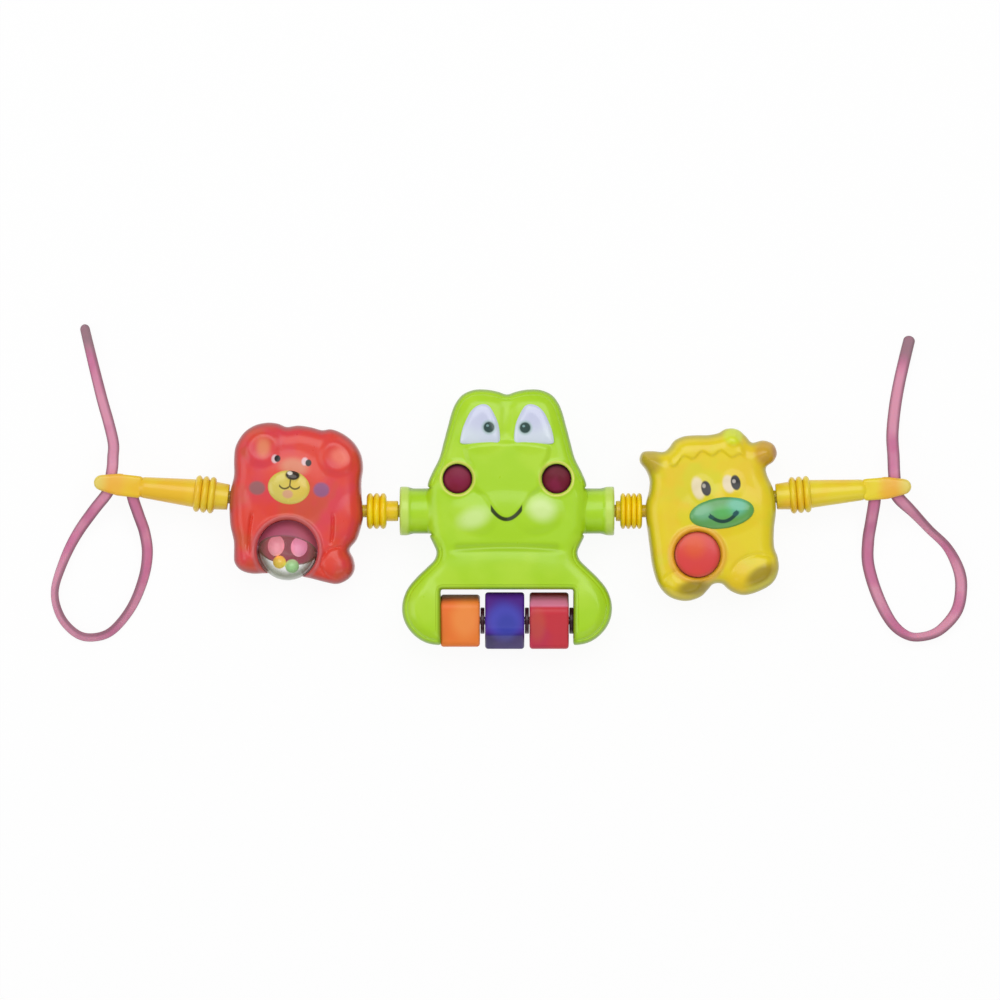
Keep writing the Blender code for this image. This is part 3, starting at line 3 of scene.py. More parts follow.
import logging
import math
from collections.abc import Callable, Sequence
from dataclasses import dataclass, field
from enum import Enum
from typing import Any

import bpy
import numpy as np
from mathutils import Matrix, Vector
from mathutils.geometry import delaunay_2d_cdt
from mathutils.kdtree import KDTree


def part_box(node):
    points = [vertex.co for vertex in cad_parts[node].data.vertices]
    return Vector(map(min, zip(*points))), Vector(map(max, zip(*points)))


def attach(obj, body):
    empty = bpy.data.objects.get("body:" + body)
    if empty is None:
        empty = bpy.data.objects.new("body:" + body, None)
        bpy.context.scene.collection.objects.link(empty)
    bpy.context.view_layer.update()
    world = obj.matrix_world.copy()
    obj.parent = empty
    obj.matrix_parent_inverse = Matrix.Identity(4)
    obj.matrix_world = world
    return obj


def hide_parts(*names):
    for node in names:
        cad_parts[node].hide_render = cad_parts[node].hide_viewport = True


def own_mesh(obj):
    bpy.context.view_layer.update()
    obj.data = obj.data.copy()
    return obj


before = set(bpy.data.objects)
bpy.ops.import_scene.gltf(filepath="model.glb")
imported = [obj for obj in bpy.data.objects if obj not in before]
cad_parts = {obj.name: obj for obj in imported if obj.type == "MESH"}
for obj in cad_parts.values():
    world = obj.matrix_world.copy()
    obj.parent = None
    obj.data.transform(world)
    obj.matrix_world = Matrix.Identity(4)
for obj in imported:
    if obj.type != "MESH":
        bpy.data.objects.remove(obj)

LOG = logging.getLogger("crib_mobile")
MM = 0.001
Array = np.ndarray
Height = Callable[[Array, Array], Array]
Pair = tuple[float, float]
Triple = tuple[float, float, float]
Colour = tuple[int, int, int]
Piece = bpy.types.Object

AXIS_HEIGHT = 15.5
FRONT_SEAM = 15.65
REAR_SEAM = 15.35
BALL_INSET = 6.5
BALL_RADIUS = 6.0
STEM_RADIUS = 3.2
ROUND_SIDES = 56
BLOCK_AXLE = -54.8
WELL_RADIUS = 2.95
WELL_TOP = 2.8
SCREW_LEVEL = 1.25
TEST_BATCH = 4096
BACK_ROUNDING = 3.4
BACK_WIDTH = 3.2
BACK_RINGS = (0.12, 0.35, 0.7, 1.2, 1.8, 2.6, 3.4)
DOME_RINGS = (0.1, 0.3, 0.6, 1.0, 1.5)


# Numbers, curves and outlines


def eased(value: Array, low: float, high: float) -> Array:
    """Ease from 0 at the low value to 1 at the high one."""
    share = np.clip((value - low) / (high - low), 0.0, 1.0)
    return share * share * (3.0 - 2.0 * share)


def soft_max(first: Array, second: Array, width: float) -> Array:
    """Take the higher of two surfaces, blended over a width by a fillet."""
    share = np.clip(0.5 + 0.5 * (first - second) / width, 0.0, 1.0)
    return second * (1.0 - share) + first * share + width * share * (1.0 - share)


def pillow(depth: Array, low: float, high: float, width: float, power: float = 2.2) -> Array:
    """Round a face over within a width of its edge, from a low to a high level; power is its fullness."""
    share = 1.0 - np.clip(depth / width, 0.0, 1.0)
    return low + (high - low) * (1.0 - share**power) ** (1.0 / power)


def bump(places: Array, centre: Pair, radii: Pair, turn: float = 0.0) -> Array:
    """Give a smooth mound of height one.

    Args:
        places: Points of the face.
        centre: Middle of the mound.
        radii: Half width and half height at which the mound has faded.
        turn: Turn of the mound in degrees.

    Returns:
        Height shares.
    """
    angle = math.radians(turn)
    across = places[:, 0] - centre[0]
    along = places[:, 1] - centre[1]
    first = (across * math.cos(angle) + along * math.sin(angle)) / radii[0]
    second = (along * math.cos(angle) - across * math.sin(angle)) / radii[1]
    reach = np.clip(1.0 - (first**2 + second**2), 0.0, 1.0)
    return reach * reach * (3.0 - 2.0 * reach)


def ridge(gap: Array, width: float) -> Array:
    """Give a soft ridge of height one where the gap is zero."""
    return np.exp(-((gap / width) ** 2))


def lip(gap: Array, width: float) -> Array:
    """Give a round lip that falls from one at the gap's zero."""
    return np.clip(1.0 - gap / width, 0.0, 1.0) ** 2


def quarter(gap: Array, radius: float) -> Array:
    """Rise along a quarter circle and stay at its radius."""
    return np.sqrt(np.maximum(radius**2 - (radius - np.clip(gap, 0.0, radius)) ** 2, 0.0))


def back_face(depth: Array | float) -> Array:
    """Give the flat back with its rounded edge, as if it looked up."""
    return pillow(depth, 2.0 * REAR_SEAM - BACK_ROUNDING, 2.0 * REAR_SEAM, BACK_WIDTH)


def unit(rows: Array) -> Array:
    """Bring every direction to length one."""
    return rows / np.linalg.norm(rows, axis=1, keepdims=True)


def travelled(points: Array) -> Array:
    """Measure the way along a path up to each of its points."""
    return np.concatenate(([0.0], np.cumsum(np.linalg.norm(np.diff(points, axis=0), axis=1))))


def along_path(targets: Array, way: Array, points: Array) -> Array:
    """Place points on a path at given distances along it.

    Args:
        targets: Wanted distances from the start.
        way: Distances of the path's own points.
        points: The path's own points.

    Returns:
        Points at the wanted distances.
    """
    return np.stack([np.interp(targets, way, column) for column in points.T], axis=1)


def even_steps(points: Array, step: float, closed: bool = True) -> Array:
    """Place points in even steps along a path.

    Args:
        points: Corner points of the path.
        step: Wanted distance between points.
        closed: Whether the path returns to its start.

    Returns:
        Evenly spaced points.
    """
    path = np.vstack((points, points[:1])) if closed else points
    way = travelled(path)
    targets = np.linspace(0.0, way[-1], max(8, round(way[-1] / step)) + 1)
    return along_path(targets[:-1] if closed else targets, way, path)


def flowing(points: Sequence[Sequence[float]], closed: bool = True, pieces: int = 12) -> Array:
    """Run a smooth curve through points.

    Args:
        points: Points that the curve meets.
        closed: Whether the curve returns to its start.
        pieces: Steps between two of the points.

    Returns:
        Dense points of the curve.
    """
    rows = np.array(points, dtype=float)
    count = len(rows)
    dense = []
    for i in range(count if closed else count - 1):
        near = ((i + k) % count if closed else min(max(i + k, 0), count - 1) for k in (-1, 0, 1, 2))
        before, here, after, beyond = (rows[k] for k in near)
        first, second = after - before, 2 * before - 5 * here + 4 * after - beyond
        third = 3 * here - 3 * after + beyond - before
        for t in (k / pieces for k in range(pieces)):
            dense.append(0.5 * (2 * here + first * t + second * t**2 + third * t**3))
    if not closed:
        dense.append(rows[-1])
    return np.array(dense)


def softened(points: Array, reach: float) -> Array:
    """Round the corners of a closed path.

    Args:
        points: Points of the path.
        reach: Spread of the rounding.

    Returns:
        Rounded path in fine steps.
    """
    step = 0.3
    path = even_steps(points, step)
    half = max(1, int(3 * reach / step))
    weights = np.exp(-0.5 * (np.arange(-half, half + 1) * step / reach) ** 2)
    weights /= weights.sum()
    result = np.zeros_like(path)
    for shift, weight in zip(range(-half, half + 1), weights):
        result += weight * np.roll(path, shift, axis=0)
    return result


def ellipse(centre: Pair, radii: Pair, count: int) -> Array:
    """Give anticlockwise points of an ellipse."""
    angles = np.arange(count) * math.tau / count
    return np.stack((centre[0] + radii[0] * np.cos(angles), centre[1] + radii[1] * np.sin(angles)), axis=1)


class Outline:
    """A closed anticlockwise path seen from above, in millimetres."""

    def __init__(self, points: Array, step: float = 0.8) -> None:
        """Keep the path in even steps.

        Args:
            points: Points of the path.
            step: Distance between kept points.
        """
        self.points = even_steps(points, step)
        fine = even_steps(points, 0.1)
        self.tree = KDTree(len(fine))
        for i, (x, y) in enumerate(fine):
            self.tree.insert((x, y, 0.0), i)
        self.tree.balance()

    def contains(self, places: Array) -> Array:
        """Tell which points lie inside.

        Args:
            places: Points to test.

        Returns:
            One truth value a point.
        """
        start, end = self.points, np.roll(self.points, -1, axis=0)
        rise = end[:, 1] - start[:, 1]
        rise = np.where(rise == 0.0, 1e-12, rise)
        slope = (end[:, 0] - start[:, 0]) / rise
        inside = np.zeros(len(places), dtype=bool)
        for first in range(0, len(places), TEST_BATCH):
            batch = slice(first, first + TEST_BATCH)
            x, y = places[batch, :1], places[batch, 1:2]
            crossed = (start[:, 1] > y) != (end[:, 1] > y)
            left = x < start[:, 0] + (y - start[:, 1]) * slope
            inside[batch] = np.count_nonzero(crossed & left, axis=1) % 2 == 1
        return inside

    def depth(self, places: Array) -> Array:
        """Measure how deep points lie inside; outside it is negative."""
        gap = np.array([self.tree.find((x, y, 0.0))[2] for x, y in places])
        return np.where(self.contains(places), gap, -gap)

    def inset(self, depth: float) -> Array:
        """Move the path inwards by a distance."""
        ahead = unit(np.roll(self.points, -1, axis=0) - np.roll(self.points, 1, axis=0))
        return self.points + depth * np.stack((-ahead[:, 1], ahead[:, 0]), axis=1)


@dataclass(frozen=True)
class Place:
    """A spot and a turn about the upright axis that a sub-assembly is drawn from."""

    x: float
    y: float
    z: float = 0.0
    turn: float = 0.0

    def matrix(self) -> Matrix:
        """Give the place as a matrix in millimetres."""
        return Matrix.Translation((self.x, self.y, self.z)) @ Matrix.Rotation(self.turn, 4, "Z")

    def to_world(self, points: Array) -> Array:
        """Move points from this place to the world.

        Args:
            points: Points in millimetres.

        Returns:
            World points in metres.
        """
        cosine, sine = math.cos(self.turn), math.sin(self.turn)
        x = points[:, 0] * cosine - points[:, 1] * sine + self.x
        y = points[:, 0] * sine + points[:, 1] * cosine + self.y
        return np.stack((x, y, points[:, 2] + self.z), axis=1) * MM

    def from_world(self, points: Array) -> Array:
        """Move world points to this place.

        Args:
            points: World points in metres.

        Returns:
            Points in millimetres.
        """
        cosine, sine = math.cos(self.turn), math.sin(self.turn)
        x, y = points[:, 0] / MM - self.x, points[:, 1] / MM - self.y
        return np.stack((x * cosine + y * sine, y * cosine - x * sine, points[:, 2] / MM - self.z), axis=1)


FROG = Place(0.0, 0.0)
BEAR = Place(-105.126, 3.056, 0.0, math.radians(-6.5))
COW = Place(101.489, 3.304, 0.0, math.radians(7.3))
RATTLE = Place(-109.637, -19.667, AXIS_HEIGHT, math.radians(-6.5))
LEFT_LINK = Place(-47.1, 0.0, AXIS_HEIGHT, math.pi)
RIGHT_LINK = Place(47.1, 0.0, AXIS_HEIGHT)
LEFT_CLIP = Place(-131.953, 6.113, AXIS_HEIGHT, math.atan2(0.113203, -0.993572))
RIGHT_CLIP = Place(127.279, 6.607, AXIS_HEIGHT, math.atan2(0.078459, 0.996917))


# Meshes


def new_piece(name: str, points: Array, faces: Sequence[Sequence[int]], place: Place) -> Piece:
    """Make an object whose place is in its mesh.

    Args:
        name: Name of the piece.
        points: Points in the place's millimetres.
        faces: Corner numbers of the faces.
        place: Where the piece is drawn from.

    Returns:
        The new object.
    """
    mesh = bpy.data.meshes.new(name)
    world = place.to_world(np.asarray(points, dtype=float)).tolist()
    mesh.from_pydata(world, [], [list(face) for face in faces])
    mesh.update()
    piece = bpy.data.objects.new(name, mesh)
    bpy.context.scene.collection.objects.link(piece)
    return piece


def tube_faces(rows: int, sides: int) -> list[tuple[int, ...]]:
    """Join rings of points into a closed tube.

    Args:
        rows: Number of rings.
        sides: Points in each ring.

    Returns:
        The side faces and both end caps.
    """
    faces: list[tuple[int, ...]] = []
    for row in range(rows - 1):
        for i in range(sides):
            k = (i + 1) % sides
            faces.append((row * sides + i, row * sides + k, (row + 1) * sides + k, (row + 1) * sides + i))
    faces.append(tuple(range(sides - 1, -1, -1)))
    faces.append(tuple(range((rows - 1) * sides, rows * sides)))
    return faces


def smooth(piece: Piece, degrees: float = 38.0) -> Piece:
    """Shade a piece smooth up to an angle in degrees and hand it back."""
    piece.data.shade_smooth()
    piece.data.set_sharp_from_angle(angle=math.radians(degrees))
    return piece


def settle(piece: Piece) -> Piece:
    """Turn a piece and its modifiers into a plain mesh.

    Args:
        piece: The piece.

    Returns:
        The same piece.
    """
    settled = bpy.data.meshes.new_from_object(piece.evaluated_get(bpy.context.evaluated_depsgraph_get()))
    piece.modifiers.clear()
    old = piece.data
    piece.data = settled
    settled.name = piece.name
    bpy.data.meshes.remove(old)
    return piece


class Join(Enum):
    """What a piece does with other bodies."""

    CUT = "DIFFERENCE"
    ADD = "UNION"


def combine(piece: Piece, others: Sequence[Piece], join: Join = Join.CUT) -> Piece:
    """Cut other bodies out of a piece, or join them to it.

    Args:
        piece: The piece that stays.
        others: Bodies that are used up.
        join: Whether they are cut out or added.

    Returns:
        The same piece.
    """
    for other in others:
        modifier = piece.modifiers.new("cut", "BOOLEAN")
        modifier.operation = join.value
        modifier.solver = "MANIFOLD"
        modifier.object = other
    settle(piece)
    for other in others:
        mesh = other.data
        bpy.data.objects.remove(other)
        bpy.data.meshes.remove(mesh)
    return piece


def lofted(
    name: str, rings: Sequence[Array], place: Place, turn: Callable[[Array], Array] | None = None
) -> Piece:
    """Join loops of equal length to a closed body.

    Args:
        name: Name of the piece.
        rings: Loops of three-dimensional points from the bottom to the top, anticlockwise.
        place: Where the piece is drawn from.
        turn: Change of the points before they are placed.

    Returns:
        The new object.
    """
    points = np.vstack(rings)
    if turn is not None:
        points = turn(points)
    return new_piece(name, points, tube_faces(len(rings), len(rings[0])), place)


def lathe(
    name: str,
    profile: Sequence[Pair],
    place: Place,
    upright: bool = False,
    centre: Triple = (0.0, 0.0, 0.0),
    sides: int = ROUND_SIDES,
) -> Piece:
    """Turn a profile about its axis.

    Args:
        name: Name of the piece.
        profile: Distances along the axis, rising, each with its radius, from pole to pole.
        place: Where the piece is drawn from.
        upright: Whether the axis stands upright instead of lying along X.
        centre: Where the axis starts.
        sides: Number of sides.

    Returns:
        The new object, shaded smooth.
    """
    angles = np.arange(sides) * math.tau / sides
    cosine, sine = np.cos(angles), np.sin(angles)
    points: list[Triple] = [(profile[0][0], 0.0, 0.0)]
    for along, radius in profile[1:-1]:
        points += [(along, radius * c, radius * s) for c, s in zip(cosine, sine)]
    points.append((profile[-1][0], 0.0, 0.0))
    rows = len(profile) - 2
    faces: list[tuple[int, ...]] = []
    for i in range(sides):
        k = (i + 1) % sides
        faces.append((0, 1 + k, 1 + i))
        for row in range(rows - 1):
            low, high = 1 + row * sides, 1 + (row + 1) * sides
            faces.append((low + i, low + k, high + k, high + i))
        faces.append((len(points) - 1, len(points) - 1 - sides + i, len(points) - 1 - sides + k))
    drawn = np.array(points)
    if upright:
        drawn = drawn[:, (1, 2, 0)]
    return smooth(new_piece(name, drawn + np.array(centre), faces, place))


def eased_profile(corners: Sequence[Triple]) -> list[Pair]:
    """Round the corners of a turned profile.

    Args:
        corners: Distance along the axis, radius and rounding of each corner.

    Returns:
        Points of the rounded profile.
    """
    result: list[Pair] = []
    for i, (along, radius, rounding) in enumerate(corners):
        here = np.array((along, radius))
        if rounding <= 0.0 or i in (0, len(corners) - 1):
            result.append((along, radius))
            continue
        before, after = np.array(corners[i - 1][:2]) - here, np.array(corners[i + 1][:2]) - here
        reach = min(rounding, 0.48 * float(np.linalg.norm(before)), 0.48 * float(np.linalg.norm(after)))
        start = here + before / np.linalg.norm(before) * reach
        end = here + after / np.linalg.norm(after) * reach
        for t in np.linspace(0.0, 1.0, 6):
            point = (1 - t) ** 2 * start + 2 * t * (1 - t) * here + t**2 * end
            result.append((float(point[0]), float(point[1])))
    return result


def ball(towards: int, centre: float) -> list[Pair]:
    """Give the profile of a ball end.

    Args:
        towards: 1 when the neck follows the ball, -1 when the ball follows the neck.
        centre: Where the ball's middle lies on the axis.

    Returns:
        Points of the profile.
    """
    neck = math.asin(STEM_RADIUS / BALL_RADIUS)
    angles = np.linspace(0.0, math.pi - neck, 18)
    points = [(centre - towards * BALL_RADIUS * math.cos(a), BALL_RADIUS * math.sin(a)) for a in angles]
    points[0] = (points[0][0], 0.0)
    return points if towards > 0 else points[::-1]


def box(name: str, low: Sequence[float], high: Sequence[float], place: Place) -> Piece:
    """Make a plain block.

    Args:
        name: Name of the block.
        low: Lowest corner.
        high: Highest corner.
        place: Where the block is drawn from.

    Returns:
        The new object.
    """
    loop = np.array(((low[0], low[1]), (high[0], low[1]), (high[0], high[1]), (low[0], high[1])))
    rings = [np.column_stack((loop, np.full(4, level))) for level in (low[2], high[2])]
    return lofted(name, rings, place)


@dataclass(frozen=True)
class Mould:
    """A moulded half whose face follows a height rule inside an outline."""

    outline: Outline
    height: Height
    seam: float
    upward: bool = True
    step: float = 0.62
    details: tuple[Array, ...] = ()
    rings: tuple[float, ...] = (0.12, 0.35, 0.7, 1.1, 1.6, 2.05, 2.3, 2.55, 2.8, 3.1, 3.6, 4.2)
    rim_rise: float = 0.4
    foot_rise: float = 0.25
    foot_inset: float = 0.2
    clearance: float = 0.4

    def build(self, name: str, place: Place) -> Piece:
        """Make the half as one closed body.

        Args:
            name: Name of the piece.
            place: Where the piece is drawn from.

        Returns:
            The new object.
        """
        outline = self.outline
        rows = [outline.points]
        for depth in self.rings:
            row = outline.inset(depth)
            rows.append(row[outline.depth(row) > depth * 0.92])
        low, high = outline.points.min(axis=0), outline.points.max(axis=0)
        grid = []
        for number, y in enumerate(np.arange(low[1], high[1], self.step * math.sqrt(3) / 2)):
            xs = np.arange(low[0] + (number % 2) * self.step / 2, high[0], self.step)
            grid.append(np.column_stack((xs, np.full(len(xs), y))))
        inner = np.vstack(grid)
        rows.append(inner[outline.depth(inner) > self.rings[-1] + self.step * 0.45])
        for extra in self.details:
            rows.append(extra[outline.depth(extra) > self.clearance])
        flat = np.vstack(rows)
        count = len(outline.points)
        edges = [(i, (i + 1) % count) for i in range(count)]
        found, _, faces, sources, _, _ = delaunay_2d_cdt([Vector(p) for p in flat], edges, [], 1, 1e-5)
        places = np.array([tuple(point) for point in found])
        rises = np.abs(self.height(places, outline.depth(places)) - self.seam)
        rim = {source: i for i, group in enumerate(sources) for source in group if source < count}
        order = [rim[i] for i in range(count)]
        rises[order] = np.maximum(rises[order], self.rim_rise)
        first = len(places)
        lips = places[order]
        foot = outline.inset(self.foot_inset)
        points = [np.column_stack((places, rises)), np.column_stack((lips, np.full(count, self.foot_rise)))]
        points.append(np.column_stack((foot, np.zeros(count))))
        shape = np.vstack(points)
        walls: list[tuple[int, ...]] = [tuple(face) for face in faces]
        for i in range(count):
            k = (i + 1) % count
            walls.append((first + i, first + k, order[k], order[i]))
            walls.append((first + count + i, first + count + k, first + k, first + i))
        walls.append(tuple(range(first + 2 * count - 1, first + count - 1, -1)))
        sign = 1.0 if self.upward else -1.0
        shape[:, 2] = self.seam + sign * shape[:, 2]
        if not self.upward:
            walls = [face[::-1] for face in walls]
        return new_piece(name, shape, walls, place)


def store(piece: Piece, name: str, values: Array) -> None:
    """Store one number on each point of a piece, for its finish."""
    piece.data.attributes.new(name, "FLOAT", "POINT").data.foreach_set("value", values.astype(np.float32))


def mark_depth(piece: Piece, outline: Outline, place: Place) -> None:
    """Store on each point how far it lies from the outline, for the finish's painted edge shade.

    Args:
        piece: The moulded piece.
        outline: Its outline.
        place: Where the piece is drawn from.
    """
    mesh = piece.data
    points = np.empty(len(mesh.vertices) * 3)
    mesh.vertices.foreach_get("co", points)
    flat = place.from_world(points.reshape(-1, 3))[:, :2]
    store(piece, "edge_depth", np.clip(outline.depth(flat), 0.0, 12.0))


def socket_cutter(name: str, place: Place, side: int, reach: float) -> Piece:
    """Make the hollow that holds a ball end and lets its neck swing.

    Args:
        name: Name of the cutter.
        place: Where the animal is drawn from.
        side: -1 for the left side and 1 for the right.
        reach: Distance of the animal's side from its middle.

    Returns:
        The cutter.
    """
    room, mouth, outside = BALL_RADIUS + 0.35, 4.5, BALL_INSET + 3.0
    last = math.pi - math.asin(mouth / room)
    sphere = [(-room * math.cos(a), room * math.sin(a)) for a in np.linspace(0.0, last, 16)]
    profile = [(-room, 0.0), *sphere[1:], (BALL_INSET, mouth), (outside, mouth + 0.3), (outside, 0.0)]
    if side < 0:
        profile = [(-along, radius) for along, radius in reversed(profile)]
    return lathe(name, profile, place, centre=(side * (reach - BALL_INSET), 0.0, AXIS_HEIGHT))


def cylinder(
    name: str, place: Place, centre: Pair, radius: float, low: float, high: float
) -> Piece:
    """Make an upright cylinder between two levels."""
    return lathe(name, [(low, 0.0), (low, radius), (high, radius), (high, 0.0)], place, True, (*centre, 0.0))


def rod(name: str, place: Place, start: Triple, length: float, radius: float) -> Piece:
    """Make a cylinder along X from its first end."""
    return lathe(name, [(0.0, 0.0), (0.0, radius), (length, radius), (length, 0.0)], place, centre=start)


# Shader tools


def linear(colour: Colour) -> tuple[float, float, float, float]:
    """Turn a colour of 0 to 255 into a linear one.

    Args:
        colour: Red, green and blue as seen on a screen.

    Returns:
        Linear red, green, blue and one.
    """
    shares = [c / 255 for c in colour]
    values = [s / 12.92 if s <= 0.04045 else ((s + 0.055) / 1.055) ** 2.4 for s in shares]
    return (values[0], values[1], values[2], 1.0)


def add_node(
    tree: bpy.types.NodeTree, kind: str, settings: dict[str, Any], inputs: dict[Any, Any]
) -> bpy.types.Node:
    """Add a node to a tree.

    Args:
        tree: The tree.
        kind: The node's type.
        settings: Its properties, set before its sockets.
        inputs: Values or sockets for its inputs.

    Returns:
        The new node.
    """
    made = tree.nodes.new(kind)
    for key, value in settings.items():
        setattr(made, key, value)
    for key, value in inputs.items():
        if isinstance(value, bpy.types.NodeSocket):
            tree.links.new(value, made.inputs[key])
        else:
            made.inputs[key].default_value = value
    return made


class Wire:
    """A socket of a material with Python's operators."""

    def __init__(self, graph: "Graph", socket: bpy.types.NodeSocket) -> None:
        """Wrap an output of the material's graph."""
        self.graph = graph
        self.socket = socket

    def _math(self, operation: str, *values: "Wire | float") -> "Wire":
        """Add a Math node with this kind of operation."""
        return self.graph.wire("ShaderNodeMath", {"operation": operation}, dict(enumerate(values)))

    def __add__(self, other: "Wire | float") -> "Wire":
        """Add."""
        return self._math("ADD", self, other)

    __radd__ = __add__

    def __mul__(self, other: "Wire | float") -> "Wire":
        """Multiply."""
        return self._math("MULTIPLY", self, other)

    __rmul__ = __mul__

    def __sub__(self, other: "Wire | float") -> "Wire":
        """Subtract."""
        return self._math("SUBTRACT", self, other)

    def __rsub__(self, other: float) -> "Wire":
        """Subtract from a number."""
        return self._math("SUBTRACT", other, self)

    def __truediv__(self, other: "Wire | float") -> "Wire":
        """Divide."""
        return self._math("DIVIDE", self, other)

    def __abs__(self) -> "Wire":
        """Drop the sign."""
        return self._math("ABSOLUTE", self)

    def root(self) -> "Wire":
        """Take the square root."""
        return self._math("SQRT", self)

    def eased(self, low: float, high: float) -> "Wire":
        """Ease from 0 at the low value to 1 at the high one."""
        inputs = {"Value": self, "From Min": low, "From Max": high, "To Min": 0.0, "To Max": 1.0}
        return self.graph.wire("ShaderNodeMapRange", {"interpolation_type": "SMOOTHSTEP"}, inputs, "Result")


class Graph:
    """A material and the nodes that are added to it."""

    def __init__(self, name: str) -> None:
        """Start an empty material.

        Args:
            name: Name of the material.
        """
        self.material = bpy.data.materials.new(name)
        self.material.use_nodes = True
        self.tree = self.material.node_tree
        self.tree.nodes.clear()

    def node(
        self, kind: str, settings: dict[str, Any] | None = None, inputs: dict[Any, Any] | None = None
    ) -> bpy.types.Node:
        """Add a node, whose inputs may be numbers, colours or wires."""
        rows = (inputs or {}).items()
        plain = {key: value.socket if isinstance(value, Wire) else value for key, value in rows}
        return add_node(self.tree, kind, settings or {}, plain)

    def wire(
        self,
        kind: str,
        settings: dict[str, Any] | None = None,
        inputs: dict[Any, Any] | None = None,
        output: int | str = 0,
    ) -> Wire:
        """Add a node and take one of its outputs."""
        return Wire(self, self.node(kind, settings, inputs).outputs[output])

    def mix(self, share: "Wire | float", below: Any, above: Any) -> Wire:
        """Mix two colours by the share in which the upper one shows."""
        return self.wire("ShaderNodeMix", {"data_type": "RGBA"}, {0: share, 6: below, 7: above}, 2)

    def axes(self, place: Place) -> tuple[Wire, Wire, Wire]:
        """Read a place's own millimetres.

        Args:
            place: The place to measure from.

        Returns:
            The three coordinates.
        """
        inputs = {
            "Vector": self.wire("ShaderNodeTexCoord", output="Object"),
            "Location": place.matrix().inverted().to_translation(),
            "Rotation": (0.0, 0.0, -place.turn),
            "Scale": (1.0 / MM, 1.0 / MM, 1.0 / MM),
        }
        moved = self.wire("ShaderNodeMapping", {"vector_type": "POINT"}, inputs)
        split = self.node("ShaderNodeSeparateXYZ", None, {0: moved})
        return Wire(self, split.outputs[0]), Wire(self, split.outputs[1]), Wire(self, split.outputs[2])

    def noise(self, scale: float, detail: float = 2.0, rough: float = 0.5) -> Wire:
        """Add a cloudy pattern in the object's own space.

        Args:
            scale: Patches a metre.
            detail: Finer layers.
            rough: Strength of the finer layers.

        Returns:
            A number from 0 to 1.
        """
        coordinates = self.wire("ShaderNodeTexCoord", output="Object")
        inputs = {"Vector": coordinates, "Scale": scale, "Detail": detail, "Roughness": rough}
        return self.wire("ShaderNodeTexNoise", None, inputs)

    def stored(self, name: str) -> Wire:
        """Read a number that is stored on the piece's points."""
        settings = {"attribute_name": name, "attribute_type": "GEOMETRY"}
        return self.wire("ShaderNodeAttribute", settings, output="Fac")

    def relief(self, height: Wire, strength: float, distance: float) -> Wire:
        """Turn a height, of which one unit is a distance in metres, into a surface direction."""
        inputs = {"Strength": strength, "Distance": distance, "Height": height}
        return self.wire("ShaderNodeBump", None, inputs)

    def close(self, shader: Wire) -> bpy.types.Material:
        """End the material in a shader."""
        self.node("ShaderNodeOutputMaterial", None, {"Surface": shader})
        return self.material

    def shaded(self, inputs: dict[str, Any]) -> bpy.types.Material:
        """End the material in the usual surface."""
        return self.close(self.wire("ShaderNodeBsdfPrincipled", None, inputs))


class Mark(Enum):
    """Shapes in which colour is printed, or in which light or shade is painted."""

    SPOT = "spot"
    RING = "ring"
    CURVE = "curve"
    BAND = "band"


@dataclass(frozen=True)
class PrintAndPaintedLight:
    """One printed shape, or one painted highlight or shade, on a face, in the animal's millimetres."""

    mark: Mark
    colour: Colour
    centre: Pair
    radii: Pair
    turn: float = 0.0
    line: float = 0.5
    soft: float = 0.18
    bend: float = 0.0
    strength: float = 1.0

    def _inside(self, gap: Wire, edge: float) -> Wire:
        """Show what lies within a soft edge."""
        return 1.0 - gap.eased(edge - self.soft, edge + self.soft)

    def mask(self, graph: Graph, x: Wire, y: Wire) -> Wire:
        """Build the share in which the shape shows.

        Args:
            graph: The material's graph; not used.
            x: Distance across.
            y: Distance along.

        Returns:
            The share.
        """
        cosine, sine = math.cos(math.radians(self.turn)), math.sin(math.radians(self.turn))
        across, along = x - self.centre[0], y - self.centre[1]
        if self.turn:
            across, along = across * cosine + along * sine, along * cosine - across * sine
        if self.mark is Mark.CURVE:
            gap = abs(along - across * across * self.bend)
            steep = (across * across * (4.0 * self.bend * self.bend) + 1.0).root()
            ends = self._inside(abs(across), self.radii[0])
            return self._inside(gap / steep, self.line) * ends * self.strength
        if self.mark is Mark.BAND:
            ends = self._inside(abs(across), self.radii[0])
            return ends * self._inside(abs(along), self.radii[1]) * self.strength
        first, second = across / self.radii[0], along / self.radii[1]
        reach = (first * first + second * second).root()
        if self.mark is Mark.RING:
            return self._inside(abs(reach - 1.0), self.line) * self.strength
        return self._inside(reach, 1.0) * self.strength


def dot(
    colour: Colour, centre: Pair, radii: Pair, soft: float, strength: float = 1.0, turn: float = 0.0
) -> PrintAndPaintedLight:
    """Make a round spot: a printed one, a painted highlight or a painted shade."""
    return PrintAndPaintedLight(Mark.SPOT, colour, centre, radii, turn, soft=soft, strength=strength)


